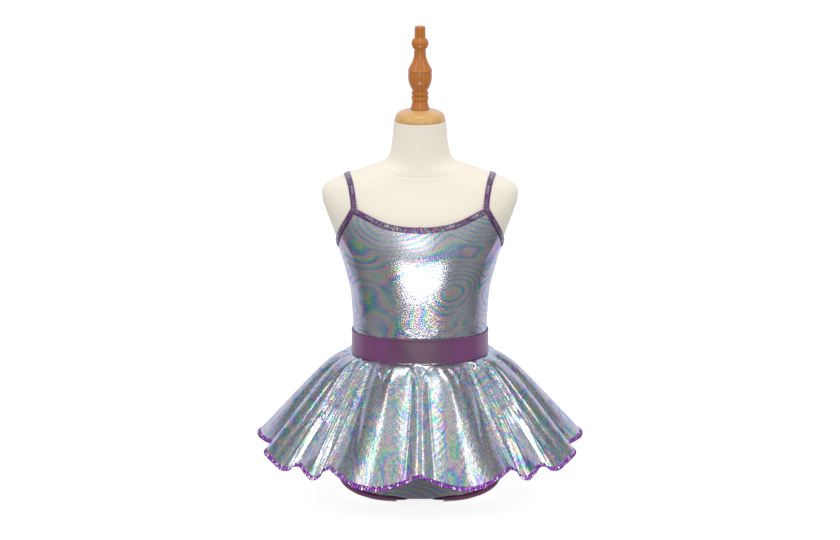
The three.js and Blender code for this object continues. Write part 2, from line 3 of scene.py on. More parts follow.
import bpy
import numpy as np
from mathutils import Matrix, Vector


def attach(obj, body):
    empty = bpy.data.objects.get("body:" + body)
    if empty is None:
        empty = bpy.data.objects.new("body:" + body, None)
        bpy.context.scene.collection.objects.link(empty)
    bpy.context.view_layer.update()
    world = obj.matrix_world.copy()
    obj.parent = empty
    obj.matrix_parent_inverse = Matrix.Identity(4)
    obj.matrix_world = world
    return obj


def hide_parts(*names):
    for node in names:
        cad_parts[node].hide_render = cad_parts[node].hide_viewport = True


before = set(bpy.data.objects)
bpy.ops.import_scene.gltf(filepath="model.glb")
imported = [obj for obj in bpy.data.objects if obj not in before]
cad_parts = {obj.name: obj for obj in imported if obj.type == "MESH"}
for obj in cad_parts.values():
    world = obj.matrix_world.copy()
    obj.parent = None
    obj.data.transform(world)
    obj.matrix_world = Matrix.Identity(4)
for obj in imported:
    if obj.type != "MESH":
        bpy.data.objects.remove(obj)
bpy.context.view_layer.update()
mm = 0.001
print("frame loaded")


# Smooth curves through tables. The first column of a table is the place, and it grows.
def smoothColumn(rows, column):
    xs = np.array([row[0] for row in rows], float)
    ys = np.array([row[column] for row in rows], float)
    before = np.maximum(np.arange(len(xs)) - 1, 0)
    after = np.minimum(np.arange(len(xs)) + 1, len(xs) - 1)
    slope = (ys[after] - ys[before]) / (xs[after] - xs[before])

    def at(place):
        place = np.clip(place, xs[0], xs[-1])
        i = np.clip(np.searchsorted(xs, place, side="right") - 1, 0, len(xs) - 2)
        span = xs[i + 1] - xs[i]
        t = (place - xs[i]) / span
        rise = ys[i + 1] - ys[i]
        m0, m1 = slope[i] * span, slope[i + 1] * span
        return ys[i] + t * (m0 + t * (3 * rise - 2 * m0 - m1 + t * (m0 + m1 - 2 * rise)))

    return at


# Points along a smooth line through given points, in any number of columns. Its pace follows the root of the
# distance between the points, so that it doesn't overshoot. Reach is how many columns are a place.
def smoothLine(points, each, closed=False, reach=3):
    points = np.array(points, float)
    count = len(points)
    if closed:
        ring = [points[(i + k) % count] for k in (-1, 0, 1, 2) for i in range(count)]
        p0, p1, p2, p3 = np.array(ring).reshape(4, count, -1)
    else:
        ends = np.vstack([2 * points[0] - points[1], points, 2 * points[-1] - points[-2]])
        p0, p1, p2, p3 = ends[:-3], ends[1:-2], ends[2:-1], ends[3:]
    step = [np.sqrt(np.linalg.norm((b - a)[:, :reach], axis=1)) for a, b in ((p0, p1), (p1, p2), (p2, p3))]
    d0, d1, d2 = [np.maximum(s, 1e-6)[:, None] for s in step]
    m1 = ((p1 - p0) / d0 - (p2 - p0) / (d0 + d1) + (p2 - p1) / d1) * d1
    m2 = ((p2 - p1) / d1 - (p3 - p1) / (d1 + d2) + (p3 - p2) / d2) * d1
    t = (np.arange(each) / each)[None, :, None]
    a, b, c, d = p1[:, None], m1[:, None], (p2 - p1)[:, None], m2[:, None]
    line = a + t * (b + t * (3 * c - 2 * b - d + t * (b + d - 2 * c)))
    line = line.reshape(-1, points.shape[1])
    return np.vstack([line, points[0] if closed else points[-1]])


# Distance run along a line of points.
def runOf(points):
    return np.concatenate([[0], np.cumsum(np.linalg.norm(np.diff(points, axis=0), axis=1))])


def unit(vectors):
    return vectors / np.maximum(np.linalg.norm(vectors, axis=-1, keepdims=True), 1e-12)


def smoothStep(value, start, end):
    t = np.clip((value - start) / (end - start), 0, 1)
    return t * t * (3 - 2 * t)


# Outward normal of a surface of two values, whose first grows anticlockwise seen from above.
def normalAt(surface, a, b, stepA, stepB):
    along = surface(a + stepA, b) - surface(a - stepA, b)
    up = surface(a, b + stepB) - surface(a, b - stepB)
    return unit(np.cross(along, up))


# Shape of the dress form, in millimetres: height, half width, depth in front, depth behind, squareness.
formSizes = {
    "sections": [
        (0, 70, 36, 40, 2.2), (6, 83, 49.5, 54, 2.2), (13, 92, 60, 66, 2.2), (22, 98.5, 69, 76, 2.2),
        (34, 102.5, 76.5, 84, 2.2), (52, 104.5, 82, 90, 2.2), (76, 104, 85, 93, 2.2),
        (102, 100.5, 86, 91, 2.2), (132, 94.5, 85, 84, 2.15), (162, 88.5, 82.5, 77, 2.15),
        (190, 84.5, 80, 73, 2.15), (208, 83.5, 79.5, 72.5, 2.15), (228, 83.8, 80, 73, 2.15),
        (252, 85.2, 81.5, 75, 2.15), (276, 87.6, 83.5, 78, 2.15), (300, 93.5, 85, 81, 2.15),
        (326, 101, 85, 83, 2.15), (350, 110, 81, 82, 2.15), (374, 119, 73, 77, 2.2),
        (390, 124.4, 64.5, 70.5, 2.2), (400, 125.2, 58, 64, 2.2), (408, 122.4, 53, 58, 2.2),
        (414, 114, 49.5, 54, 2.2), (420, 99.5, 46.5, 50.5, 2.15), (426, 83, 44, 47.5, 2.1),
        (431, 69, 42.3, 45, 2.1), (436, 54, 40.8, 43, 2.05), (441, 44.5, 39.5, 41, 2),
        (448, 39.5, 38, 39, 2), (460, 36.5, 36.5, 37, 2), (476, 34.6, 34.6, 34.6, 2),
        (491.7, 33.6, 33.6, 33.6, 2),
    ],
    "neckTop": 491.7,
    # the tube that is shaped into the form: faces round it, radius, and its rings as from, to and count
    "turns": 144,
    "startRadius": 60.0,
    "rings": [(0, 418, 126), (419, 450, 42), (452, 491.7, 18)],
    # channel under the form, where the gusset runs
    "channelHalf": 30,
    "channelHeight": 16,
    "channelBelow": 10,
    "channelLength": 260,
    "channelRound": 6,
    "channelSegments": 5,
    "edgeRound": 0.9,
    # seam of the neck as angle and height, with its groove and the low lips beside it
    "neckSeam": [(0, 425.5), (25, 428.5), (46, 437), (70, 442), (90, 443.5), (135, 443), (180, 442)],
    "grooveDepth": 0.4,
    "grooveHalf": 0.9,
    "lipHeight": 0.12,
    "lipAway": 2.2,
    "lipHalf": 1.3,
    # step in degrees and in millimetres from which a normal is worked out
    "step": 0.4,
}
halfWidth = smoothColumn(formSizes["sections"], 1)
frontDepth = smoothColumn(formSizes["sections"], 2)
backDepth = smoothColumn(formSizes["sections"], 3)
squareness = smoothColumn(formSizes["sections"], 4)
neckSeam = smoothColumn(formSizes["neckSeam"], 1)


# Point on the form. Angles are in degrees from the centre front (0) by way of +X (90).
def formPoint(angle, height):
    turn = np.radians(angle)
    power = 2 / squareness(height)
    side, ahead = np.sin(turn), np.cos(turn)
    depth = np.where(ahead > 0, frontDepth(height), backDepth(height))
    x = np.sign(side) * np.abs(side) ** power * halfWidth(height)
    y = -np.sign(ahead) * np.abs(ahead) ** power * depth
    return np.stack(np.broadcast_arrays(x, y, height), -1).astype(float)


def formNormal(angle, height):
    return normalAt(formPoint, angle, height, formSizes["step"], formSizes["step"])


def onForm(angle, height, away):
    return formPoint(angle, height) + formNormal(angle, height) * np.asarray(away, float)[..., None]


# Starting and finishing pieces.
def deselect():
    if bpy.context.mode != "OBJECT":
        bpy.ops.object.mode_set(mode="OBJECT")
    bpy.ops.object.select_all(action="DESELECT")


def activate(piece):
    deselect()
    piece.select_set(True)
    bpy.context.view_layer.objects.active = piece


def applyModifier(piece, kind, **values):
    activate(piece)
    modifier = piece.modifiers.new(kind.lower(), kind)
    for key, value in values.items():
        setattr(modifier, key, value)
    bpy.ops.object.modifier_apply(modifier=modifier.name)


def smoothShade(piece, degrees=50):
    activate(piece)
    bpy.ops.object.shade_smooth_by_angle(angle=math.radians(degrees))


def mergeEnds(piece, outside):
    activate(piece)
    bpy.ops.object.mode_set(mode="EDIT")
    bpy.ops.mesh.select_all(action="SELECT")
    bpy.ops.mesh.remove_doubles(threshold=1e-6)
    if outside:
        bpy.ops.mesh.fill_holes(sides=0)
        bpy.ops.mesh.select_all(action="SELECT")
        bpy.ops.mesh.normals_make_consistent(inside=False)
    bpy.ops.object.mode_set(mode="OBJECT")


# A grid primitive whose points are placed by two shares, across and up, both 0 to 1. Places are in
# millimetres, and flat gives where the cloth lay when it was cut, for the UV map. A ring's two ends are
# merged, and a tube's open ends are closed as well.
def gridPiece(name, columns, rows, place, flat, closing=None):
    deselect()
    bpy.ops.mesh.primitive_grid_add(x_subdivisions=columns, y_subdivisions=rows, size=2)
    piece = bpy.context.object
    piece.name = piece.data.name = name
    mesh = piece.data
    co = np.zeros(len(mesh.vertices) * 3)
    mesh.vertices.foreach_get("co", co)
    across, up = (co.reshape(-1, 3)[:, :2].T + 1) / 2
    mesh.vertices.foreach_set("co", (place(across, up) * mm).ravel())
    corners = np.zeros(len(mesh.loops), int)
    mesh.loops.foreach_get("vertex_index", corners)
    uv = (flat(across, up) * mm)[corners]
    mesh.uv_layers[0].data.foreach_set("uv", uv.ravel())
    mesh.update()
    if closing:
        mergeEnds(piece, closing == "tube")
    return piece


def flipFaces(piece):
    activate(piece)
    bpy.ops.object.mode_set(mode="EDIT")
    bpy.ops.mesh.select_all(action="SELECT")
    bpy.ops.mesh.flip_normals()
    bpy.ops.object.mode_set(mode="OBJECT")


def mirrorPiece(piece, name):
    activate(piece)
    bpy.ops.object.duplicate()
    other = bpy.context.object
    other.name = other.data.name = name
    co = np.zeros(len(other.data.vertices) * 3)
    other.data.vertices.foreach_get("co", co)
    co = co.reshape(-1, 3) * (-1, 1, 1)
    other.data.vertices.foreach_set("co", co.ravel())
    other.data.update()
    flipFaces(other)
    return other


def finishPiece(piece, nodes=(), materials=()):
    piece.data.materials.clear()
    for material in materials:
        piece.data.materials.append(material)
    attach(piece, "root")
    if nodes:
        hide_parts(*nodes)
    return piece


# Hard pieces: a circle that is extruded upwards ring by ring, each ring a height and a radius.
def turnUp(name, rings, sides):
    deselect()
    height, radius = rings[0]
    bpy.ops.mesh.primitive_circle_add(vertices=sides, radius=radius * mm, location=(0, 0, height * mm))
    piece = bpy.context.object
    piece.name = piece.data.name = name
    bpy.ops.object.transform_apply(location=True, rotation=True, scale=True)
    bpy.ops.object.mode_set(mode="EDIT")
    bpy.ops.mesh.select_all(action="SELECT")
    for (low, near), (high, far) in zip(rings, rings[1:]):
        bpy.ops.mesh.extrude_region_move(TRANSFORM_OT_translate={"value": (0, 0, (high - low) * mm)})
        if abs(far - near) > 1e-6:
            bpy.ops.transform.resize(value=(far / near, far / near, 1), center_override=(0, 0, high * mm))
    bpy.ops.mesh.select_all(action="SELECT")
    bpy.ops.mesh.fill_holes(sides=0)
    bpy.ops.mesh.normals_make_consistent(inside=False)
    bpy.ops.object.mode_set(mode="OBJECT")
    return piece


def makeForm():
    sizes = formSizes
    levels = np.concatenate([np.linspace(*rings) for rings in sizes["rings"]])
    piece = turnUp("formBody", [(float(z), sizes["startRadius"]) for z in levels], sizes["turns"])
    co = np.zeros(len(piece.data.vertices) * 3)
    piece.data.vertices.foreach_get("co", co)
    x, y, z = co.reshape(-1, 3).T / mm
    angle = np.degrees(np.arctan2(x, -y))
    height = np.clip(z, 0, sizes["neckTop"])
    fromSeam = height - neckSeam(np.abs(angle))
    groove = -sizes["grooveDepth"] * np.exp(-(fromSeam / sizes["grooveHalf"]) ** 2)
    lips = sizes["lipHeight"] * np.exp(-((np.abs(fromSeam) - sizes["lipAway"]) / sizes["lipHalf"]) ** 2)
    piece.data.vertices.foreach_set("co", (onForm(angle, height, groove + lips) * mm).ravel())
    deselect()
    top, below = sizes["channelHeight"], sizes["channelBelow"]
    bpy.ops.mesh.primitive_cube_add(size=1, location=(0, 0, (top - below) / 2 * mm))
    bar = bpy.context.object
    bar.scale = (2 * sizes["channelHalf"] * mm, sizes["channelLength"] * mm, (top + below) * mm)
    bpy.ops.object.transform_apply(location=True, rotation=True, scale=True)
    applyModifier(bar, "BEVEL", width=sizes["channelRound"] * mm, segments=sizes["channelSegments"])
    applyModifier(piece, "BOOLEAN", object=bar, operation="DIFFERENCE", solver="EXACT")
    bpy.data.objects.remove(bar)
    applyModifier(piece, "BEVEL", width=sizes["edgeRound"] * mm, segments=3, angle_limit=math.radians(50))
    smoothShade(piece, 40)
    return piece


# Turned wood: stretches of the profile, each smooth in itself, as height above the base and radius.
neckSizes = {
    # rings from one given point to the next
    "steps": 5,
    "cap": {
        "base": 492, "top": 507, "sides": 64,
        "stretches": [
            [(0, 31.6), (0.6, 32.3), (2, 32.5), (5, 32)],
            [(5.6, 31.4), (8.6, 30), (11.4, 26.4), (13.6, 20.4), (14.7, 13), (15, 6)],
        ],
    },
    "finial": {
        "base": 507.3, "top": 614, "sides": 56,
        "stretches": [
            [(0, 12.3), (2, 11.8), (6, 10.7), (10.6, 10.0)],
            [(11.1, 9.6), (12.1, 10.7), (14.3, 11.2), (16.5, 10.7), (17.5, 9.5)],
            [(17.9, 9.5), (18.9, 10.7), (20.9, 11.1), (22.8, 10.6), (23.7, 9.4)],
            [(24.1, 9.4), (29.8, 12.5), (35.5, 14.5), (41.2, 15.3), (46.8, 15.3), (49.7, 14.8)],
            [(50.0, 15.4), (51.2, 15.9), (52.4, 15.4)],
            [(52.8, 14.9), (58.2, 12.5), (62.5, 10.3), (66.7, 8.8), (71, 7.9), (78.6, 7.4)],
            [(79.2, 7.5), (81.4, 9.5), (84.6, 10.7), (87.6, 11), (90.6, 10.5), (93, 9), (94, 7.3)],
            [(94.3, 7.1), (101, 7.0), (108.2, 6.9), (109.4, 6.5), (110, 5.6), (110.1, 2.5)],
        ],
    },
}


def turnedRings(sizes):
    end = sizes["stretches"][-1][-1][0]
    stretch = (sizes["top"] - sizes["base"]) / end
    rings = []
    for points in sizes["stretches"]:
        for height, radius in smoothLine(points, neckSizes["steps"], reach=2):
            rings.append((sizes["base"] + height * stretch, float(radius)))
    return rings


def makeNeckFittings():
    cap = turnUp("neckCap", turnedRings(neckSizes["cap"]), neckSizes["cap"]["sides"])
    finial = turnUp("neckFinial", turnedRings(neckSizes["finial"]), neckSizes["finial"]["sides"])
    smoothShade(cap, 35)
    smoothShade(finial, 35)
    return cap, finial


# Cloth that lies on the form. Edges are angle and height, right half.
clothSizes = {
    "gap": 0.95,
    "thickness": 1.1,
    "layer": 0.5,
    "seam": 0.1,
    "neck": [(0, 367), (9, 368), (17, 370.6), (24, 375), (30.5, 380.4), (36.5, 385.2), (42, 387.6)],
    "armhole": [
        (41.6, 390.5), (42.6, 387), (47.9, 377.5), (55, 367.5), (65, 355.5), (76, 344), (88, 335.5),
        (104, 331), (120, 333), (134, 341), (144, 351), (146.2, 360), (146.8, 367.5),
    ],
    "backNeck": [(144.5, 351), (152, 344), (164, 337), (180, 335)],
    "leg": [
        (16.2, 11.5), (25, 9.2), (38, 9.4), (55, 12.5), (72, 18.5), (90, 24), (108, 23), (126, 17),
        (144, 12), (155, 10.4), (163.8, 11.5),
    ],
    "bodiceHem": 214,
    "bandTop": 221,
    "bandRise": 4,
    "bandBottom": 192.3,
    "briefTop": 200,
    "gussetHalf": 27.5,
    "gussetHeight": 6,
    "gussetSeam": 11.5,
    "gussetCurve": 2.6,
    "mapRadius": 88,
}
neckEdge = smoothColumn(clothSizes["neck"], 1)
armholeEdge = smoothColumn(clothSizes["armhole"][1:-2], 1)
backNeckEdge = smoothColumn(clothSizes["backNeck"], 1)
legEdge = smoothColumn(clothSizes["leg"], 1)


def turnOf(angle):
    return np.abs((np.asarray(angle, float) + 180) % 360 - 180)


def edgeHeight(angle):
    turn = turnOf(angle)
    front, back = clothSizes["neck"][-1][0], clothSizes["backNeck"][0][0]
    upper = np.where(turn >= back, backNeckEdge(turn), armholeEdge(turn))
    return np.where(turn <= front, neckEdge(turn), upper)


def bandTop(angle):
    return clothSizes["bandTop"] + clothSizes["bandRise"] * np.maximum(np.cos(np.radians(angle)), 0) ** 2


def legHeight(angle):
    turn = turnOf(angle)
    start = clothSizes["leg"][0][0]
    between = (turn > start) & (turn < 180 - start)
    return np.where(between, legEdge(turn), clothSizes["gussetSeam"])


# A crease fades at both ends, where t is 0 and 1.
def fadeEnds(t, share):
    return np.sin(np.pi * np.clip(t * (1 - 2 * share) + share, 0, 1))


# Soft creases: each is a ridge along a straight way in angle and height, width in mm and height in mm.
def creaseHeight(angle, height, creases):
    total = np.zeros(np.broadcast(angle, height).shape)
    perDegree, endShare = 1.5, 0.05
    for (a0, h0), (a1, h1), width, rise in creases:
        ax, ay = a0 * perDegree, h0
        dx, dy = (a1 - a0) * perDegree, h1 - h0
        px, py = angle * perDegree - ax, height - ay
        t = np.clip((px * dx + py * dy) / (dx * dx + dy * dy), 0, 1)
        off = np.hypot(px - t * dx, py - t * dy)
        total += rise * np.exp(-(off / width) ** 2) * fadeEnds(t, endShare)
    return total


def clothPanel(name, middle, top, bottom, columns, rows, creases):
    halfTurn = 90 - clothSizes["seam"]

    def placed(across, up):
        angle = middle + (2 * across - 1) * halfTurn
        low, high = bottom(angle), top(angle)
        return angle, low + (high - low) * up

    def place(across, up):
        angle, height = placed(across, up)
        turned = angle - middle
        rise = creaseHeight(turned, height, creases)
        return onForm(angle, height, clothSizes["gap"] + clothSizes["thickness"] + rise)

    def flat(across, up):
        angle, height = placed(across, up)
        return np.stack([np.radians(angle - middle) * clothSizes["mapRadius"], height], -1)

    piece = gridPiece(name, columns, rows, place, flat)
    applyModifier(piece, "SOLIDIFY", thickness=clothSizes["thickness"] * mm, offset=-1)
    smoothShade(piece)
    return piece


# Creases of the bodice and the brief: both ends as angle from the panel's middle and height, width, rise.
bodiceCreases = {
    "front": [
        ((-62, 345), (-50, 318), 4, 0.7), ((62, 345), (50, 318), 4, 0.7),
        ((-70, 335), (-63, 300), 5, 0.6), ((70, 335), (63, 300), 5, 0.6),
        ((-52, 250), (-46, 226), 4, 0.5), ((52, 250), (46, 226), 4, 0.5),
        ((-30, 240), (-27, 224), 4, 0.4), ((33, 242), (29, 224), 4, 0.4),
        ((-10, 236), (-9, 225), 4, 0.3), ((14, 238), (12, 225), 4, 0.35),
    ],
    "back": [
        ((-60, 320), (-48, 296), 5, 0.7), ((60, 320), (48, 296), 5, 0.7),
        ((-40, 262), (-34, 226), 5, 0.7), ((42, 260), (36, 226), 5, 0.7),
        ((-18, 268), (-14, 224), 6, 0.8), ((20, 264), (15, 224), 6, 0.8),
        ((-66, 250), (-62, 224), 4, 0.5), ((66, 252), (61, 224), 4, 0.5),
    ],
}


def makeBodice():
    bottom = lambda angle: np.full(np.shape(angle), float(clothSizes["bodiceHem"]))
    front = clothPanel("bodiceFront", 0, edgeHeight, bottom, columns=130, rows=96,
                       creases=bodiceCreases["front"])
    back = clothPanel("bodiceBack", 180, edgeHeight, bottom, columns=120, rows=76,
                      creases=bodiceCreases["back"])
    return front, back


stripSizes = {
    "width": 7,
    "legWidth": 12.5,
    "thickness": 0.9,
    "crown": 0.35,
    "layer": 0.2,
    "lowShare": -0.08,
    "highShare": 1.0,
    # how round the edges and the top of the section are: 1 is an oval, less is squarer
    "edgeSquare": 0.8,
    "topSquare": 0.55,
    "sides": 14,
    "mapWidth": 14,
    "lineSteps": 40,
    # rows of faces along each strip
    "frontRows": 130,
    "backRows": 110,
    "armholeRows": 250,
    # the neckline bindings stop short of the armhole bindings by this angle
    "butt": 2.6,
}
tackSizes = {"over": 0.9, "under": 0.2, "width": 1.5, "rise": 0.62, "rows": 12}


# Strips: a rounded band swept along a line on the form. Ribs give angle and height, and how both change with
# each millimetre across the strip.
def ribsOnForm(rows, count, side=1, swing=None):
    line = smoothLine(rows, stripSizes["lineSteps"], reach=2)
    run = runOf(formPoint(line[:, 0], line[:, 1]))
    places = np.linspace(0, run[-1], count + 1)
    angle = np.interp(places, run, line[:, 0])
    height = np.interp(places, run, line[:, 1])
    stepAngle = np.interp(places, run, np.gradient(line[:, 0], run))
    stepHeight = np.interp(places, run, np.gradient(line[:, 1], run))
    normal = formNormal(angle, height)
    # change of place over one degree and over one millimetre of height
    around = formPoint(angle + 0.5, height) - formPoint(angle - 0.5, height)
    up = formPoint(angle, height + 0.5) - formPoint(angle, height - 0.5)
    along = unit(around * stepAngle[:, None] + up * stepHeight[:, None])
    turn = (swing(angle) if swing else np.zeros_like(angle))[:, None]
    towards = unit(np.cross(along, normal) * side * (1 - np.abs(turn)) + unit(around) * turn)
    dots = lambda a, b: np.sum(a * b, -1)
    spread = dots(around, around) * dots(up, up) - dots(around, up) ** 2
    turnStep = (dots(towards, around) * dots(up, up) - dots(towards, up) * dots(around, up)) / spread
    climb = (dots(towards, up) * dots(around, around) - dots(towards, around) * dots(around, up)) / spread
    return angle, height, turnStep, climb


# Section of a strip: share of the width and height above its bed, round a flat oval.
def stripSection(thickness):
    theta = np.linspace(0, 2 * np.pi, stripSizes["sides"] + 1)
    soft = lambda value, power: np.sign(value) * np.abs(value) ** power
    middle = (stripSizes["lowShare"] + stripSizes["highShare"]) / 2
    half = (stripSizes["highShare"] - stripSizes["lowShare"]) / 2
    share = middle - half * soft(np.cos(theta), stripSizes["edgeSquare"])
    lift = thickness * (1 + soft(np.sin(theta), stripSizes["topSquare"])) / 2
    crown = stripSizes["crown"] * np.maximum(np.sin(theta), 0) ** 2
    return share, lift, crown


# Small irregular puckers along a sewn strip, the same each run. They add up waves, each with a share of the
# height and a length in pitches.
puckerWaves = [(1.0, 1.0), (0.7, 1.7), (0.5, 0.61)]


def pucker(run, pitch, seed):
    phases = np.random.default_rng(seed).uniform(0, 2 * np.pi, len(puckerWaves))
    waves = [height * np.sin(run * 2 * np.pi / (pitch * length) + phase)
             for (height, length), phase in zip(puckerWaves, phases)]
    return sum(waves) / sum(height for height, length in puckerWaves)


def stripOnForm(name, ribs, width, away, seed, pitch=7.5, depth=0.22):
    angle, height, turnStep, climb = [value[:, None] for value in ribs]
    share, lift, crown = [value[None] for value in stripSection(stripSizes["thickness"])]
    run = runOf(formPoint(ribs[0], ribs[1]))[:, None]
    wave = 1 + depth * pucker(run, pitch, seed)
    points = onForm(angle + turnStep * share * width, height + climb * share * width,
                    away + lift + crown * wave)
    return arrayPiece(name, points, run)


# A strip from an array of points, rows along it and columns round its section.
def arrayPiece(name, points, run, closing="tube"):
    rows, columns = points.shape[0] - 1, points.shape[1] - 1
    pick = lambda across, up: (np.rint(across * rows).astype(int), np.rint(up * columns).astype(int))
    distance = np.broadcast_to(run, points.shape[:2])

    def flat(across, up):
        i, k = pick(across, up)
        return np.stack([distance[i, k], up * stripSizes["mapWidth"]], -1)

    piece = gridPiece(name, rows, columns, lambda across, up: points[pick(across, up)], flat, closing)
    smoothShade(piece)
    return piece


def makeBindings():
    away = clothSizes["gap"] + clothSizes["thickness"] + stripSizes["layer"]
    width, butt = stripSizes["width"], stripSizes["butt"]
    frontEnd, backEnd = clothSizes["neck"][-1][0] - butt, clothSizes["backNeck"][0][0] + butt
    frontRow = clothSizes["neck"][:-1] + [(frontEnd, float(neckEdge(frontEnd)))]
    backRow = [(backEnd, float(backNeckEdge(backEnd)))] + clothSizes["backNeck"][1:]
    frontLine = [(-a, h) for a, h in reversed(frontRow[1:])] + frontRow
    backLine = backRow + [(360 - a, h) for a, h in reversed(backRow[:-1])]
    frontRibs = ribsOnForm(frontLine, stripSizes["frontRows"])
    backRibs = ribsOnForm(backLine, stripSizes["backRows"])
    front = stripOnForm("bindingNeckFront", frontRibs, width, away, 3)
    back = stripOnForm("bindingNeckBack", backRibs, width, away, 4)
    armRibs = ribsOnForm(clothSizes["armhole"], stripSizes["armholeRows"])
    right = stripOnForm("bindingArmholeRight", armRibs, width, away, 5)
    left = mirrorPiece(right, "bindingArmholeLeft")
    middle = clothSizes["neck"][0][1]
    upper, lower = middle + tackSizes["over"], middle - width - tackSizes["under"]
    tackRow = [(0, upper), (0, middle - width / 2), (0, lower)]
    tackRibs = ribsOnForm(tackRow, tackSizes["rows"])
    tack = stripOnForm("neckTack", tackRibs, tackSizes["width"], away + tackSizes["rise"], 9)
    return {"neckFront": front, "neckBack": back, "right": right, "left": left, "tack": tack}


# Straps lie on the shoulders: depth and distance from the middle, front to back.
strapSizes = {
    "way": [(-50.6, 83.6), (-38, 87), (-22, 90.2), (0, 93), (22, 92.4), (44, 80), (67.4, 65.4)],
    "width": 7.0,
    "thickness": 0.85,
    "gap": 0.25,
    # over this length at each end the strap climbs onto the binding, and lies this much above it
    "ease": 16,
    "above": 0.75,
    # this share of the width follows the way
    "middle": 0.46,
    "puckerPitch": 8,
    "puckerDepth": 0.15,
    "lineSteps": 400,
    "rows": 150,
    "step": 0.6,
    # the shoulder's height is found by halving the range from here to the top of the neck
    "lowest": 330.0,
    "halvings": 40,
}
strapSide = smoothColumn(strapSizes["way"], 1)


def topOfForm(x, y):
    low, high = np.full(np.shape(x), strapSizes["lowest"]), np.full(np.shape(x), formSizes["neckTop"])
    for _ in range(strapSizes["halvings"]):
        middle = (low + high) / 2
        depth = np.where(y < 0, frontDepth(middle), backDepth(middle))
        power = squareness(middle)
        inside = np.abs(x / halfWidth(middle)) ** power + np.abs(y / depth) ** power < 1
        low, high = np.where(inside, middle, low), np.where(inside, high, middle)
    return np.stack([x, y, low], -1)


def makeStraps():
    sizes = strapSizes
    depth = np.linspace(sizes["way"][0][0], sizes["way"][-1][0], sizes["lineSteps"])
    line = topOfForm(strapSide(depth), depth)
    run = runOf(line)
    places = np.linspace(0, run[-1], sizes["rows"])
    way = np.stack([np.interp(places, run, line[:, k]) for k in range(3)], -1)
    normal = normalAt(topOfForm, way[:, 0], way[:, 1], sizes["step"], sizes["step"])
    fromEnd = np.minimum(places, run[-1] - places)
    layers = clothSizes["thickness"] + stripSizes["layer"]
    rise = sizes["gap"] + (layers + sizes["above"]) * np.maximum(1 - fromEnd / sizes["ease"], 0) ** 2
    across = unit(np.cross(np.gradient(way, axis=0), normal))
    share, lift, crown = stripSection(sizes["thickness"])
    wave = 1 + sizes["puckerDepth"] * pucker(places, sizes["puckerPitch"], 6)[:, None]
    height = rise[:, None] + lift + crown * wave
    points = way[:, None] + across[:, None] * ((share - sizes["middle"]) * sizes["width"])[None, :, None]
    points = points + normal[:, None] * height[:, :, None]
    right = arrayPiece("strapRight", points, places[:, None])
    left = mirrorPiece(right, "strapLeft")
    return right, left


bandSizes = {
    "thickness": 1.2,
    "girth": 520,
    "height": 30,
    # the band is a little fuller along its middle, and its upper edge is rolled
    "belly": 0.35,
    "bellyPower": 0.7,
    "roll": 0.45,
    "rollDown": 1.4,
    "rollHalf": 1.2,
    # soft waves round the waist, and how far they lean from the lower to the upper edge
    "waves": (7, 11, 17),
    "waveHeight": 0.1,
    "lean": 1.4,
    "columns": 300,
    "rows": 22,
}


def makeWaistband():
    sizes = bandSizes
    away = clothSizes["gap"] + clothSizes["thickness"] + clothSizes["layer"] + sizes["thickness"]
    phases = np.random.default_rng(11).uniform(0, 2 * np.pi, 6)

    def place(across, up):
        angle = across * 360
        low, high = clothSizes["bandBottom"], bandTop(angle)
        height = low + (high - low) * up
        belly = np.sin(np.pi * up) ** sizes["bellyPower"]
        fromTop = (1 - up) * (high - low)
        roll = sizes["roll"] * np.exp(-((fromTop - sizes["rollDown"]) / sizes["rollHalf"]) ** 2)
        soft = sum(np.sin(np.radians(angle) * count + phase + sizes["lean"] * up)
                   for count, phase in zip(sizes["waves"], phases))
        rise = sizes["belly"] * belly + roll + sizes["waveHeight"] * soft * belly
        return onForm(angle, height, away + rise)

    flat = lambda across, up: np.stack([across * sizes["girth"], up * sizes["height"]], -1)
    piece = gridPiece("waistBand", sizes["columns"], sizes["rows"], place, flat, "ring")
    applyModifier(piece, "SOLIDIFY", thickness=sizes["thickness"] * mm, offset=-1)
    smoothShade(piece)
    return piece


briefCreases = {
    "front": [
        ((-14, 16), (-20, 44), 6, 1.0), ((14, 16), (20, 44), 6, 1.0), ((-26, 14), (-36, 34), 5, 0.8),
        ((27, 14), (38, 33), 5, 0.8), ((-46, 18), (-58, 36), 6, 0.7), ((48, 18), (60, 36), 6, 0.7),
    ],
    "back": [
        ((-16, 16), (-22, 60), 7, 1.1), ((16, 16), (23, 58), 7, 1.1), ((-34, 18), (-44, 48), 6, 0.9),
        ((36, 18), (45, 50), 6, 0.9), ((-60, 30), (-66, 60), 6, 0.6), ((58, 30), (66, 62), 6, 0.6),
    ],
}


def gussetPoint(x, share, away):
    front = onForm(0.0, clothSizes["gussetSeam"], 0.0)[1]
    back = onForm(180.0, clothSizes["gussetSeam"], 0.0)[1]
    y = np.where(share < 0, -share * front, share * back)
    climb = clothSizes["gussetSeam"] - clothSizes["gussetHeight"]
    rise = climb * np.abs(share) ** clothSizes["gussetCurve"]
    return np.stack(np.broadcast_arrays(x, y, clothSizes["gussetHeight"] + rise + away), -1)


gussetSizes = {
    "reach": 0.975,
    "thickness": 1.0,
    "lift": 0.2,
    # its ripples, some along it and some aslant: share of the height, turns, start, and width of a turn
    "ripple": 0.35,
    "along": (0.5, 9, 1, 9),
    "aslant": (0.35, 3, 0, 4.5),
    "mapWidth": 55,
    "mapLength": 150,
    "columns": 36,
    "rows": 90,
}


def gussetRipple(x, share):
    high, turns, start, width = gussetSizes["along"]
    along = high * np.sin(share * turns + start) * np.cos(x / width)
    high, turns, start, width = gussetSizes["aslant"]
    aslant = high * np.sin(x / width + share * turns + start)
    return gussetSizes["ripple"] * (along + aslant)


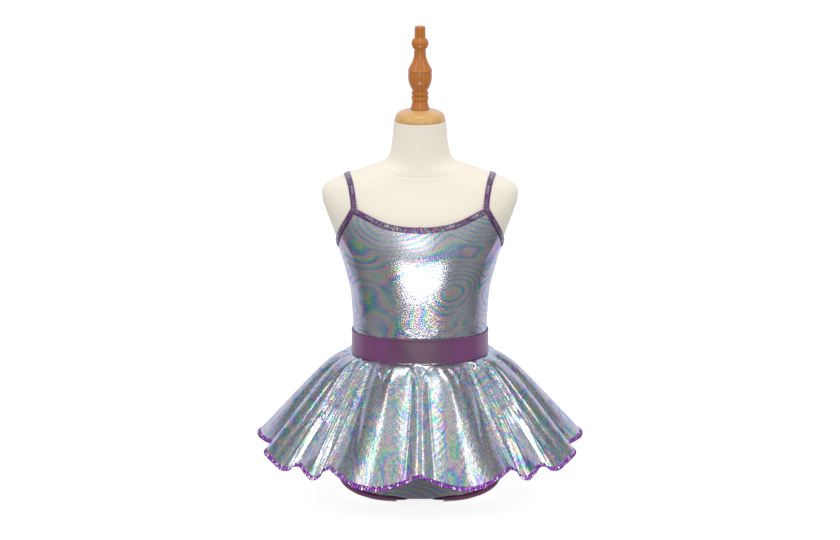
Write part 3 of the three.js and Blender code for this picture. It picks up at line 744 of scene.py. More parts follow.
def makeBrief():
    top = lambda angle: np.full(np.shape(angle), float(clothSizes["briefTop"]))
    front = clothPanel("briefFront", 0, top, legHeight, columns=120, rows=84, creases=briefCreases["front"])
    back = clothPanel("briefBack", 180, top, legHeight, columns=120, rows=84, creases=briefCreases["back"])
    sizes = gussetSizes

    def place(across, up):
        share = (2 * up - 1) * sizes["reach"]
        x = (2 * across - 1) * clothSizes["gussetHalf"]
        return gussetPoint(x, share, gussetRipple(x, share) + sizes["lift"])

    flat = lambda across, up: np.stack([across * sizes["mapWidth"], up * sizes["mapLength"]], -1)
    gusset = gridPiece("gussetCloth", sizes["columns"], sizes["rows"], place, flat)
    applyModifier(gusset, "SOLIDIFY", thickness=sizes["thickness"] * mm, offset=1)
    smoothShade(gusset)
    return front, back, gusset


legSizes = {
    "rows": 210,
    # within this angle of its ends the binding turns to lie along the gusset
    "swing": 16,
    "underReach": 0.9,
    "underRows": 70,
    "smoothings": 4,
    "puckerPitch": 9,
    "puckerDepth": 0.3,
}


def makeLegBindings():
    start, width = clothSizes["leg"][0][0], stripSizes["legWidth"]
    near = lambda angle: np.maximum(1 - angle / legSizes["swing"], 0)
    swing = lambda angle: near(180 - start - angle) - near(angle - start)
    away = clothSizes["gap"] + clothSizes["thickness"] + clothSizes["layer"]
    ribs = ribsOnForm(clothSizes["leg"], legSizes["rows"], -1, swing)
    angle, height, turnStep, climb = [value[:, None] for value in ribs]
    share, lift, crown = [value[None] for value in stripSection(stripSizes["thickness"])]
    outside = onForm(angle + turnStep * share * width, height + climb * share * width, away + lift + crown)
    place = np.linspace(legSizes["underReach"], -legSizes["underReach"], legSizes["underRows"])[:, None]
    edge = clothSizes["gussetHalf"] - share * width
    under = gussetPoint(edge + 0 * place, place, -clothSizes["layer"] - lift - crown)
    ring = np.concatenate([outside, under, outside[:1]])
    for _ in range(legSizes["smoothings"]):
        loop = ring[:-1]
        ring[:-1] = (np.roll(loop, 1, 0) + 2 * loop + np.roll(loop, -1, 0)) / 4
        ring[-1] = ring[0]
    run = runOf(ring[:, 4])
    upperSide = np.maximum(np.sin(np.linspace(0, 2 * np.pi, ring.shape[1])), 0)
    wave = pucker(run, legSizes["puckerPitch"], 8)[:, None] * legSizes["puckerDepth"] * upperSide
    centre = ring[:, :-1].mean(1, keepdims=True)
    ring = ring + unit(ring - centre) * wave[..., None]
    ring[-1] = ring[0]
    right = arrayPiece("legBindingRight", ring, run[:, None])
    left = mirrorPiece(right, "legBindingLeft")
    return right, left


# The skirt. Hem, right half: angle, reach, height and lift, 1 on a ridge and 0 in a valley.
skirtSizes = {
    "hem": [
        (0, 161, 61, 0.1), (7, 178, 56, 0.6), (16, 194, 50, 1), (24, 194, 51, 0.9), (31, 188, 57, 0.7),
        (38, 179, 63, 0.4), (42.6, 172, 64, 0.1), (44.4, 179, 60, 0.4), (44, 186, 54.5, 0.8),
        (46, 192, 52, 1), (50, 192, 58, 0.7), (55, 188, 63, 0.4), (58.4, 189, 61, 0.3),
        (58.6, 196, 57, 0.7), (61.4, 202, 56, 0.9), (66, 206, 62, 1), (72, 210, 70, 1),
        (74.4, 206, 73, 0.7), (74.8, 199.5, 76, 0.3), (76.8, 197, 78, 0.1), (80.5, 202, 79, 0.4),
        (86, 208, 81, 0.9), (93, 209, 83, 1), (100, 202, 80, 0.5), (106, 194, 77, 0.1),
        (112, 198, 68, 0.6), (119, 205, 60, 1), (126, 199, 60, 0.6), (132, 187, 65, 0.1),
        (137, 186, 62, 0.3), (143, 194, 53, 0.9), (150, 196, 50, 1), (157, 189, 56, 0.5),
        (163, 175, 63, 0.1), (169, 177, 60, 0.4), (175, 187, 54, 0.9), (180, 189, 53, 1),
    ],
    "top": 191,
    "offset": 3.35,
    # gathers under the waistband: deepest at this share down the cloth, gone at the next
    "gathers": 33,
    "gatherDepth": 1.4,
    "gatherFull": 0.12,
    "gatherGone": 0.6,
    "gatherFade": 1.5,
    # pulls of the fall's curve, outwards and downwards: in a valley, and what a ridge adds
    "outAtWaist": (0.1, 0.12),
    "outAtHem": (0.3, 0.12),
    "fallAtWaist": (0.05, -0.05),
    "fallAtHem": (0.46, -0.13),
    "thickness": 1.0,
    "trimStart": 0.978,
    "seam": 0.00012,
    "hemSteps": 60,
    "columns": 350,
    "rows": 104,
    "innerRadius": 85,
    "outerRadius": 236,
    # girth at the waist and what it gains down to the hem, roughly
    "waistGirth": 520,
    "girthGain": 900,
    # steps round and down from which a normal is worked out
    "stepRound": 0.0012,
    "stepDown": 0.004,
}


def hemLine():
    half = skirtSizes["hem"]
    whole = half + [(360 - a, reach, height, lift) for a, reach, height, lift in reversed(half[1:-1])]
    angle, reach, height, lift = np.array(whole, float).T
    turn = np.radians(angle)
    points = np.stack([np.sin(turn) * reach, -np.cos(turn) * reach, height, lift], -1)
    line = smoothLine(points, skirtSizes["hemSteps"], closed=True)
    return runOf(line[:, :3]), line


hemRun, hemPoints = hemLine()


def hemAt(share):
    run = (share % 1) * hemRun[-1]
    return [np.interp(run, hemRun, hemPoints[:, k]) for k in range(4)]


# Share of the way to the hem at the share t down the cloth, with a pull at the waist and one at the hem.
def sagging(a, b, t):
    return 3 * a * t * (1 - t) ** 2 + 3 * b * t**2 * (1 - t) + t**3


# Creases of the skirt: share round the waist where each starts and ends, start and end down the cloth, half
# width in mm at the start and end, and how far it stands out. They are mirrored about the middle.
skirtCreases = [
    (0.1196, 0.1308, 0.2, 0.95, 1.3, 1.9, 1.9), (0.1262, 0.1196, 0.17, 0.215, 1.3, 1.3, 1.4),
    (0.1480, 0.1650, 0.2, 0.97, 5, 8, 2.0), (0.1337, 0.1367, 0.62, 0.96, 3, 5, 1.4),
    (0.1621, 0.1742, 0.2, 0.965, 1.1, 1.6, 1.7), (0.1780, 0.1905, 0.3, 0.97, 3, 5, -1.2),
    (0.2080, 0.2129, 0.22, 0.96, 1.2, 1.8, 1.8), (0.2200, 0.2290, 0.3, 0.96, 4, 7, -1.2),
    (0.0208, 0.0017, 0.12, 0.34, 1.6, 1.3, 1.3), (0.0137, 0.0171, 0.36, 0.95, 1.5, 2.4, 1.3),
    (0.0929, 0.0690, 0.16, 0.35, 1.5, 1.3, 1.6), (0.0579, 0.0665, 0.16, 0.35, 1.5, 1.3, 1.6),
    (0.0500, 0.0500, 0.26, 0.6, 6, 9, 1.3), (0.0983, 0.0787, 0.46, 0.9, 5, 9, -1.4),
    (0.1080, 0.1010, 0.1, 0.5, 2, 3, 1.2), (0.1430, 0.1500, 0.15, 0.5, 1.6, 2.4, -1.2),
    (0.2900, 0.2950, 0.2, 0.95, 1.3, 2, 1.7), (0.3350, 0.3300, 0.15, 0.7, 3, 6, 1.3),
    (0.3700, 0.3780, 0.2, 0.95, 1.3, 2, 1.7), (0.4150, 0.4100, 0.12, 0.6, 2, 4, 1.4),
    (0.4550, 0.4600, 0.3, 0.96, 1.3, 2, 1.6), (0.4850, 0.4780, 0.12, 0.5, 2, 3, 1.3),
]
rippleSizes = {
    "middle": 0.05, "halfShare": 0.036, "from": 0.5, "full": 0.68, "height": 0.16, "pitch": 6.4,
    "lean": 0.55, "length": 165, "girth": 1500, "bend": 0.35, "bends": 160,
}


def skirtPoint(share, down):
    x, y, z, lift = hemAt(share)
    waist = onForm(share * 360, np.full(np.shape(share), float(skirtSizes["top"])), skirtSizes["offset"])
    pull = lambda name: skirtSizes[name][0] + skirtSizes[name][1] * lift
    out = sagging(pull("outAtWaist"), pull("outAtHem"), down)
    fall = sagging(pull("fallAtWaist"), pull("fallAtHem"), down)
    hem = np.stack([x, y, z], -1)
    point = waist + (hem - waist) * np.stack([out, out, fall], -1)
    ripple = skirtSizes["gatherDepth"] * np.sin(2 * np.pi * skirtSizes["gathers"] * share)
    gone = np.maximum(1 - down / skirtSizes["gatherGone"], 0) ** skirtSizes["gatherFade"]
    fade = np.minimum(down / skirtSizes["gatherFull"], 1) * gone
    outward = unit(waist * (1, 1, 0))
    return point + outward * (ripple * fade)[..., None]


def skirtNormal(share, down):
    return normalAt(skirtPoint, share, down, skirtSizes["stepRound"], -skirtSizes["stepDown"])


def creasedSkirt(share, down):
    endShare, endPower, margin = 0.03, 0.7, 0.02
    mirrored = np.minimum(share % 1, 1 - share % 1)
    rise = np.zeros(np.shape(share))
    for start, end, top, low, wide, wider, height in skirtCreases:
        t = np.clip((down - top) / (low - top), 0, 1)
        middle = start + (end - start) * t
        girth = skirtSizes["waistGirth"] + skirtSizes["girthGain"] * down
        width = wide + (wider - wide) * t
        ends = fadeEnds(t, endShare) ** endPower
        within = (down > top - margin) & (down < low + margin)
        rise += np.where(within, height * ends * np.exp(-((mirrored - middle) * girth / width) ** 2), 0)
    sizes = rippleSizes
    reach = np.clip(1 - ((mirrored - sizes["middle"]) / sizes["halfShare"]) ** 2, 0, 1)
    reach = reach * smoothStep(down, sizes["from"], sizes["full"])
    run = down * sizes["length"] + (mirrored * sizes["girth"]) * sizes["lean"]
    bend = sizes["bend"] * np.sin(mirrored * sizes["bends"])
    rise += sizes["height"] * reach * np.sin(2 * np.pi * (run / sizes["pitch"] + bend))
    return skirtPoint(share, down) + skirtNormal(share, down) * rise[..., None]


def skirtFlat(share, down):
    radius = skirtSizes["innerRadius"] + (skirtSizes["outerRadius"] - skirtSizes["innerRadius"]) * down
    return np.stack([np.sin(2 * np.pi * share) * radius, -np.cos(2 * np.pi * share) * radius], -1)


def makeSkirt():
    pieces = []
    seam = skirtSizes["seam"]
    # the front runs from the left seam by way of the middle to the right seam, and the back from there on
    for name, start in (("skirtFront", -0.25), ("skirtBack", 0.25)):

        def shares(across, up):
            share = start + seam + (0.5 - 2 * seam) * across
            return share, (1 - up) * skirtSizes["trimStart"]

        piece = gridPiece(name, skirtSizes["columns"], skirtSizes["rows"],
                          lambda across, up: creasedSkirt(*shares(across, up)),
                          lambda across, up: skirtFlat(*shares(across, up)))
        applyModifier(piece, "SOLIDIFY", thickness=skirtSizes["thickness"] * mm, offset=0,
                      material_offset=1, material_offset_rim=0)
        smoothShade(piece, 60)
        pieces.append(piece)
    return pieces


# Hem trim: a ridged band closed round the cloth's edge.
trimSizes = {
    "pitch": 3.8, "steps": 8, "sides": 12, "thick": 2.4, "from": 0.975, "to": 1.0,
    # how much of the thickness the ridges make, and of the width what is left between them
    "ridge": 0.65, "narrow": 0.45, "roundness": 0.8,
}


def makeHemTrim():
    pieces = []
    halfRun = hemRun[-1] / 2
    ridges = int(halfRun / trimSizes["pitch"])
    theta = np.linspace(0, 2 * np.pi, trimSizes["sides"] + 1)[None]
    middle, half = (trimSizes["from"] + trimSizes["to"]) / 2, (trimSizes["to"] - trimSizes["from"]) / 2
    ridge, narrow = trimSizes["ridge"], trimSizes["narrow"]
    for name, start in (("hemTrimFront", -0.25), ("hemTrimBack", 0.25)):
        share = start + 0.5 * np.linspace(0, 1, ridges * trimSizes["steps"] + 1)[:, None]
        wave = np.abs(np.sin(np.pi * (share - start) * 2 * ridges)) ** trimSizes["roundness"]
        down = middle - half * np.cos(theta) * (narrow + (1 - narrow) * wave) + 0 * share
        out = trimSizes["thick"] / 2 * np.sin(theta) * (1 - ridge + ridge * wave)
        allRound = share + 0 * theta
        points = skirtPoint(allRound, down) + skirtNormal(allRound, down) * out[..., None]
        run = (share - start) * hemRun[-1]
        pieces.append(arrayPiece(name, points, run))
    return pieces


# Materials. Node helper: makes a node with its values, and links its inputs.
def addNode(tree, kind, inputs=None, **values):
    node = tree.nodes.new(kind)
    for key, value in values.items():
        setattr(node, key, value)
    for key, value in (inputs or {}).items():
        if isinstance(value, bpy.types.NodeSocket):
            tree.links.new(value, node.inputs[key])
        else:
            node.inputs[key].default_value = value
    return node


def mathNode(tree, operation, a, b=0.0, clamp=False):
    return addNode(tree, "ShaderNodeMath", {0: a, 1: b}, operation=operation, use_clamp=clamp).outputs[0]


def vectorNode(tree, operation, a, b=(0, 0, 0)):
    return addNode(tree, "ShaderNodeVectorMath", {0: a, 1: b}, operation=operation).outputs[0]


def noiseNode(tree, vector, scale, detail):
    node = addNode(tree, "ShaderNodeTexNoise", {"Vector": vector, "Scale": scale, "Detail": detail})
    return node.outputs["Fac"]


black, white = (0.0, 0.0, 0.0), (1.0, 1.0, 1.0)


def rampNode(tree, fac, stops, interpolation="LINEAR"):
    ramp = addNode(tree, "ShaderNodeValToRGB", {"Fac": fac})
    ramp.color_ramp.interpolation = interpolation
    while len(ramp.color_ramp.elements) < len(stops):
        ramp.color_ramp.elements.new(0.5)
    for element, (place, colour) in zip(ramp.color_ramp.elements, stops):
        element.position = place
        element.color = (*colour, 1)
    return ramp.outputs["Color"]


# The mix node's own numbers for its factor and for the sockets that carry colours.
mixFactor, mixFirst, mixSecond, mixResult = 0, 6, 7, 2


def mixColour(tree, factor, a, b, blend="MIX"):
    node = addNode(tree, "ShaderNodeMix", data_type="RGBA", blend_type=blend)
    for key, value in ((mixFactor, factor), (mixFirst, a), (mixSecond, b)):
        if isinstance(value, bpy.types.NodeSocket):
            tree.links.new(value, node.inputs[key])
        else:
            node.inputs[key].default_value = value if key == mixFactor else (*value, 1)
    return node.outputs[mixResult]


def newGroup(name, inputs, outputs):
    group = bpy.data.node_groups.new(name, "ShaderNodeTree")
    for label, kind, value in inputs:
        socket = group.interface.new_socket(name=label, in_out="INPUT", socket_type=kind)
        if value is not None:
            socket.default_value = value
    for label, kind in outputs:
        group.interface.new_socket(name=label, in_out="OUTPUT", socket_type=kind)
    return group, group.nodes.new("NodeGroupInput").outputs, group.nodes.new("NodeGroupOutput").inputs


def useGroup(tree, group, **inputs):
    node = tree.nodes.new("ShaderNodeGroup")
    node.node_tree = group
    for key, value in inputs.items():
        if isinstance(value, bpy.types.NodeSocket):
            tree.links.new(value, node.inputs[key])
        else:
            node.inputs[key].default_value = value
    return node.outputs


# Rainbow rings of a foil: the distance from the middle of warped cells runs through soft hues over and over.
ringHues = [
    (0.0, (0.70, 0.66, 0.68)), (0.10, (0.74, 0.80, 0.42)), (0.22, (0.26, 0.78, 0.56)),
    (0.34, (0.14, 0.62, 0.70)), (0.46, (0.28, 0.40, 0.86)), (0.58, (0.54, 0.38, 0.82)),
    (0.70, (0.86, 0.58, 0.70)), (0.82, (0.86, 0.66, 0.54)), (1.0, (0.70, 0.66, 0.68)),
]


def makeRingGroup():
    number = "NodeSocketFloat"
    group, given, out = newGroup("foilRings", [
        ("Vector", "NodeSocketVector", None), ("Size", number, 11.0), ("Rings", number, 15.0),
        ("Warp", number, 0.03)], [("Color", "NodeSocketColor"), ("Strength", number)])
    noise = addNode(group, "ShaderNodeTexNoise", {"Vector": given["Vector"], "Scale": 16.0, "Detail": 4.0,
                                                  "Roughness": 0.6})
    centred = vectorNode(group, "SUBTRACT", noise.outputs["Color"], (0.5, 0.5, 0.5))
    scaled = addNode(group, "ShaderNodeVectorMath", {0: centred, "Scale": given["Warp"]}, operation="SCALE")
    warped = vectorNode(group, "ADD", given["Vector"], scaled.outputs[0])
    cells = addNode(group, "ShaderNodeTexVoronoi", {"Vector": warped, "Scale": given["Size"]},
                    feature="SMOOTH_F1")
    cells.inputs["Smoothness"].default_value = 0.2
    phase = mathNode(group, "FRACT", mathNode(group, "MULTIPLY", cells.outputs["Distance"], given["Rings"]))
    patch = noiseNode(group, given["Vector"], 24.0, 2.0)
    strength = mathNode(group, "MULTIPLY", mathNode(group, "SUBTRACT", patch, 0.28), 3.0, True)
    group.links.new(rampNode(group, phase, ringHues), out["Color"])
    group.links.new(strength, out["Strength"])
    return group


# Fine grain of a cloth or foil surface: a value about one half, a height, and a different soft hue a grain.
def makeGrainGroup():
    number = "NodeSocketFloat"
    group, given, out = newGroup("fineGrain", [
        ("Vector", "NodeSocketVector", None), ("Scale", number, 900.0), ("Contrast", number, 1.0)],
        [("Value", number), ("Height", number), ("Hue", "NodeSocketColor")])
    fine = noiseNode(group, given["Vector"], given["Scale"], 2.0)
    cell = addNode(group, "ShaderNodeTexVoronoi", {"Vector": given["Vector"], "Scale": given["Scale"]})
    value = mathNode(group, "MULTIPLY", mathNode(group, "SUBTRACT", fine, 0.5), given["Contrast"])
    height = mathNode(group, "ADD", fine, mathNode(group, "MULTIPLY", cell.outputs["Distance"], 0.5))
    group.links.new(mathNode(group, "ADD", value, 0.5, True), out["Value"])
    group.links.new(height, out["Height"])
    group.links.new(cell.outputs["Color"], out["Hue"])
    return group


ringGroup = makeRingGroup()
grainGroup = makeGrainGroup()


def newMaterial(name):
    material = bpy.data.materials.new(name)
    material.use_nodes = True
    tree = material.node_tree
    return material, tree, tree.nodes["Principled BSDF"]


def bumpInto(tree, shader, height, strength, distance):
    bump = addNode(tree, "ShaderNodeBump", {"Height": height, "Strength": strength, "Distance": distance})
    tree.links.new(bump.outputs["Normal"], shader.inputs["Normal"])


foilSizes = {
    "bodice": {"size": 12.0, "rings": 13.0, "warp": 0.018, "tint": 0.9, "stretch": (0.85, 1.25, 1.0),
               "base": (0.74, 0.71, 0.75), "grain": 620.0, "speckle": 0.7, "hue": 0.2, "rough": 0.19,
               "crumple": 0.0002},
    "skirt": {"size": 44.0, "rings": 2.6, "warp": 0.05, "tint": 0.8, "stretch": (1.0, 1.0, 1.0),
              "base": (0.735, 0.765, 0.785), "grain": 440.0, "speckle": 0.5, "hue": 0.4, "rough": 0.16,
              "crumple": 0.0005},
}


def makeFoil(name, sizes):
    material, tree, shader = newMaterial(name)
    flat = addNode(tree, "ShaderNodeUVMap").outputs["UV"]
    place = addNode(tree, "ShaderNodeMapping", {"Vector": flat, "Scale": sizes["stretch"]}).outputs[0]
    rings = useGroup(tree, ringGroup, Vector=place, Size=sizes["size"], Rings=sizes["rings"],
                     Warp=sizes["warp"])
    grain = useGroup(tree, grainGroup, Vector=flat, Scale=sizes["grain"], Contrast=2.4)
    amount = mathNode(tree, "MULTIPLY", rings["Strength"], sizes["tint"])
    colour = mixColour(tree, amount, sizes["base"], rings["Color"])
    colour = mixColour(tree, sizes["hue"], colour, grain["Hue"], "OVERLAY")
    speckle = rampNode(tree, grain["Value"], [(0.2, (0.6, 0.6, 0.62)), (0.7, white)])
    colour = mixColour(tree, sizes["speckle"], colour, speckle, "MULTIPLY")
    tree.links.new(colour, shader.inputs["Base Color"])
    shader.inputs["Metallic"].default_value = 0.95
    rough = mathNode(tree, "ADD", mathNode(tree, "MULTIPLY", grain["Value"], 0.12), sizes["rough"])
    tree.links.new(rough, shader.inputs["Roughness"])
    crumple = addNode(tree, "ShaderNodeBump", {"Height": noiseNode(tree, flat, 55.0, 2.0), "Strength": 1.0,
                                               "Distance": sizes["crumple"]})
    fine = addNode(tree, "ShaderNodeBump", {"Height": grain["Height"], "Strength": 0.3, "Distance": 0.0005,
                                            "Normal": crumple.outputs["Normal"]})
    tree.links.new(fine.outputs["Normal"], shader.inputs["Normal"])
    return material


def makeWrongSide():
    material, tree, shader = newMaterial("foilWrongSide")
    flat = addNode(tree, "ShaderNodeUVMap").outputs["UV"]
    grain = useGroup(tree, grainGroup, Vector=flat, Scale=800.0, Contrast=1.4)
    tree.links.new(rampNode(tree, grain["Value"], [(0.2, (0.33, 0.32, 0.34)), (0.8, (0.52, 0.51, 0.53))]),
                   shader.inputs["Base Color"])
    shader.inputs["Roughness"].default_value = 0.62
    shader.inputs["Sheen Weight"].default_value = 0.3
    bumpInto(tree, shader, grain["Height"], 0.4, 0.0004)
    return material


# Painted reflection: grey shine in patches along the middle of a strip, where its rounded top catches the
# light.
def paintedShineOver(tree, colour, flat, grain, paintedShine):
    across = addNode(tree, "ShaderNodeSeparateXYZ", {0: flat}).outputs["Y"]
    share = mathNode(tree, "MULTIPLY", across, 1 / (stripSizes["mapWidth"] * mm))
    middle = rampNode(tree, share, [(0.10, black), (0.2, white), (0.32, white), (0.42, black)])
    patch = mathNode(tree, "SUBTRACT", noiseNode(tree, flat, 30.0, 1.0), 0.34)
    patch = mathNode(tree, "MULTIPLY", patch, 5.0, True)
    paintedShineGrey = rampNode(tree, grain["Value"], [
        (0.3, (0.10, 0.09, 0.12)), (0.6, paintedShine), (0.8, (0.72, 0.72, 0.74))])
    return mixColour(tree, mathNode(tree, "MULTIPLY", middle, patch), colour, paintedShineGrey)


# Painted light: a darker, greyer mauve on the middle of the band, in front and behind, that tones the front
# light's highlight there. It fades between 12 and 55 mm aside.
def paintedHighlightToneOver(tree, colour, highlightTone):
    place = addNode(tree, "ShaderNodeTexCoord").outputs["Object"]
    aside = mathNode(tree, "ABSOLUTE", addNode(tree, "ShaderNodeSeparateXYZ", {0: place}).outputs["X"])
    share = rampNode(tree, mathNode(tree, "MULTIPLY", aside, 10.0), [(0.12, white), (0.55, black)], "EASE")
    return mixColour(tree, share, colour, highlightTone)


# Painted glints: bright pink and white grains, a share of them all, painted highlights in the colour.
def paintedGlintsOver(tree, colour, grain, share):
    spark = addNode(tree, "ShaderNodeSeparateColor", {0: grain["Hue"]}).outputs
    lit = mathNode(tree, "GREATER_THAN", spark[0], 1 - share)
    bright = rampNode(tree, spark[1], [(0.3, (1.0, 0.62, 0.95)), (0.7, (0.95, 0.95, 1.0))])
    return mixColour(tree, lit, colour, bright)


def makePurpleFoil(name, base, roughness, scale=620.0, paintedShine=None, paintedGlints=0.0, coat=0.35, metal=0.8,
                   highlightTone=None):
    material, tree, shader = newMaterial(name)
    flat = addNode(tree, "ShaderNodeUVMap").outputs["UV"]
    grain = useGroup(tree, grainGroup, Vector=flat, Scale=scale, Contrast=2.0)
    dark = tuple(c * 0.7 for c in base)
    light = tuple(min(c * 1.2 + 0.06, 1) for c in base)
    colour = rampNode(tree, grain["Value"], [(0.3, dark), (0.6, base), (0.85, light)])
    # painted reflection: grey shine along the middle of the strip
    if paintedShine:
        colour = paintedShineOver(tree, colour, flat, grain, paintedShine)
    # painted light: the band's middle is toned for the front light's highlight
    if highlightTone:
        colour = paintedHighlightToneOver(tree, colour, highlightTone)
    # painted highlights: bright glints in the trim's colour
    if paintedGlints:
        colour = paintedGlintsOver(tree, colour, grain, paintedGlints)
    tree.links.new(colour, shader.inputs["Base Color"])
    shader.inputs["Metallic"].default_value = metal
    shader.inputs["Sheen Weight"].default_value = 0.5 * (1 - metal)
    shader.inputs["Coat Weight"].default_value = coat
    shader.inputs["Coat Roughness"].default_value = 0.3
    tree.links.new(mathNode(tree, "ADD", mathNode(tree, "MULTIPLY", grain["Value"], 0.2), roughness),
                   shader.inputs["Roughness"])
    bumpInto(tree, shader, grain["Height"], 0.35, 0.0004)
    return material


def makeJersey():
    material, tree, shader = newMaterial("creamJersey")
    place = addNode(tree, "ShaderNodeTexCoord").outputs["Object"]
    grain = useGroup(tree, grainGroup, Vector=place, Scale=1100.0, Contrast=0.8)
    cloud = noiseNode(tree, place, 9.0, 2.0)
    base = rampNode(tree, cloud, [(0.3, (0.95, 0.88, 0.745)), (0.7, (0.97, 0.91, 0.785))])
    speckle = rampNode(tree, grain["Value"], [(0.2, (0.92, 0.92, 0.92)), (0.7, white)])
    tree.links.new(mixColour(tree, 0.7, base, speckle, "MULTIPLY"), shader.inputs["Base Color"])
    shader.inputs["Roughness"].default_value = 0.75
    shader.inputs["Sheen Weight"].default_value = 0.15
    bumpInto(tree, shader, grain["Height"], 0.3, 0.0004)
    return material


def makeWood(name, light, dark, roughness, coat):
    material, tree, shader = newMaterial(name)
    place = addNode(tree, "ShaderNodeTexCoord").outputs["Object"]
    shifted = addNode(tree, "ShaderNodeMapping", {
        "Vector": place, "Location": (0.03, 0.012, 0.0), "Rotation": (0.06, 0.09, 0.0),
        "Scale": (1.0, 1.0, 0.12),
    }).outputs[0]
    wave = addNode(tree, "ShaderNodeTexWave", {
        "Vector": shifted, "Scale": 70.0, "Distortion": 5.0, "Detail": 3.0, "Detail Scale": 1.6,
    }, wave_type="RINGS", rings_direction="Z").outputs["Fac"]
    pores = noiseNode(tree, shifted, 900.0, 3.0)
    between = tuple((a + b) / 2 for a, b in zip(light, dark))
    colour = rampNode(tree, wave, [(0.15, light), (0.6, between), (0.95, dark)])
    fine = rampNode(tree, pores, [(0.3, (0.88, 0.86, 0.84)), (0.6, white)])
    tree.links.new(mixColour(tree, 0.6, colour, fine, "MULTIPLY"), shader.inputs["Base Color"])
    shader.inputs["Roughness"].default_value = roughness
    shader.inputs["Coat Weight"].default_value = coat
    shader.inputs["Coat Roughness"].default_value = 0.12
    bumpInto(tree, shader, pores, 0.08, 0.0003)
    return material


bodiceFoil = makeFoil("bodiceFoil", foilSizes["bodice"])
skirtFoil = makeFoil("skirtFoil", foilSizes["skirt"])
wrongSide = makeWrongSide()
# the bindings and straps carry a painted grey reflection along their middle
purpleBinding = makePurpleFoil("purpleBinding", base=(0.20, 0.06, 0.22), roughness=0.3, scale=500.0,
                               paintedShine=(0.34, 0.31, 0.37))
legBinding = makePurpleFoil("legBinding", base=(0.34, 0.045, 0.21), roughness=0.36)
# the band's middle carries a painted tone for the front light's highlight
purpleBand = makePurpleFoil("purpleBand", base=(0.25, 0.05, 0.225), roughness=0.46, scale=800.0, coat=0.5,
                            metal=0.4, highlightTone=(0.115, 0.045, 0.095))
# the trim carries painted glints
purpleTrim = makePurpleFoil("purpleTrim", base=(0.30, 0.05, 0.46), roughness=0.16, scale=520.0, paintedGlints=0.16)
creamJersey = makeJersey()
paleWood = makeWood("paleWood", light=(0.80, 0.48, 0.17), dark=(0.76, 0.43, 0.145), roughness=0.3, coat=0.5)
turnedWood = makeWood("turnedWood", light=(0.60, 0.20, 0.024), dark=(0.53, 0.165, 0.018), roughness=0.34,
                      coat=0.5)
print("materials made")


form = makeForm()
cap, finial = makeNeckFittings()
finishPiece(form, ["form_torso"], [creamJersey])
finishPiece(cap, ["neck_cap"], [paleWood])
finishPiece(finial, ["neck_finial"], [turnedWood])
print("dress form made")

bodiceFront, bodiceBack = makeBodice()
bindings = makeBindings()
strapRight, strapLeft = makeStraps()
waistBand = makeWaistband()
briefFront, briefBack, gusset = makeBrief()
legRight, legLeft = makeLegBindings()
print("bodice and brief made")
skirtFront, skirtBack = makeSkirt()
trimFront, trimBack = makeHemTrim()
print("skirt made")

for piece, node in ((bodiceFront, "bodice_front"), (bodiceBack, "bodice_back"), (briefFront, "brief_front"),
                    (briefBack, "brief_back"), (gusset, "gusset")):
    finishPiece(piece, [node], [bodiceFoil])
for piece, node in ((skirtFront, "skirt_front"), (skirtBack, "skirt_back")):
    finishPiece(piece, [node], [skirtFoil, wrongSide])
for piece, node in ((bindings["neckFront"], "binding_neck_front"),
                    (bindings["neckBack"], "binding_neck_back"),
                    (bindings["right"], "binding_armhole_right"), (bindings["left"], "binding_armhole_left"),
                    (strapRight, "strap_right"), (strapLeft, "strap_left")):
    finishPiece(piece, [node], [purpleBinding])
for piece, node in ((legRight, "leg_binding_right"), (legLeft, "leg_binding_left")):
    finishPiece(piece, [node], [legBinding])
finishPiece(bindings["tack"], [], [legBinding])
finishPiece(waistBand, ["waistband"], [purpleBand])
for piece, node in ((trimFront, "hem_trim_front"), (trimBack, "hem_trim_back")):
    finishPiece(piece, [node], [purpleTrim])


# Pieces that lie on the bodice.
onBodice = [bindings["neckFront"], bindings["right"], bindings["left"], bindings["tack"]]
onBodice += [strapRight, strapLeft]


# Studio: pale floor, a plain soft world and large soft lights.
studioSizes = {
    "distance": 9.0, "elevation": 12.0, "aim": 0.297, "frameWidth": 1.0752, "sensor": 36.0, "clipEnd": 60.0,
    "lights": [
        # name, shape, place, aim, width, height, brightness, lights matt surfaces too
        ("lowFront", "ELLIPSE", (0.012, -0.5, 0.196), (0, 0, 0.3), 0.44, 0.056, 10.0, False),
        ("keyFront", "RECTANGLE", (-0.15, -2.4, 1.02), (0, 0, 0.3), 0.9, 0.7, 2.1, True),
        ("stripLeft", "RECTANGLE", (-1.81, -1.17, 2.1), (0, 0, 0.2), 0.35, 1.3, 2.8, False),
        ("stripRight", "RECTANGLE", (1.81, -1.17, 2.1), (0, 0, 0.2), 0.35, 1.3, 2.8, False),
        ("topSoft", "RECTANGLE", (0, -0.5, 2.8), (0, 0, 0.2), 1.2, 0.7, 4.0, True),
    ],
    "around": [
        # what shining surfaces mirror, from the front (0) to the back (1)
        (0.0, (0.52, 0.55, 0.58)), (0.22, (0.51, 0.55, 0.58)), (0.45, (0.33, 0.36, 0.38)),
        (0.59, (0.17, 0.17, 0.19)), (0.64, (0.15, 0.15, 0.18)), (0.70, (0.56, 0.55, 0.70)),
        (0.92, (0.80, 0.80, 0.98)),
    ],
    "onFloor": [
        # what they mirror of the floor, the same way round
        (0.0, (0.17, 0.17, 0.19)), (0.10, (0.24, 0.25, 0.27)), (0.25, (0.33, 0.35, 0.37)),
        (0.45, (0.26, 0.27, 0.29)), (0.59, (0.13, 0.13, 0.15)), (0.64, (0.13, 0.13, 0.16)),
        (0.70, (0.56, 0.55, 0.70)), (0.92, (0.80, 0.80, 0.98)),
    ],
    # brightness of the surroundings for matt surfaces, and of the floor as seen and as it lights them
    "matt": 0.9,
    "floorSeen": 0.86,
    "floorGlow": 0.12,
    "floorSize": 60.0,
    "floorColour": (0.42, 0.42, 0.42),
}


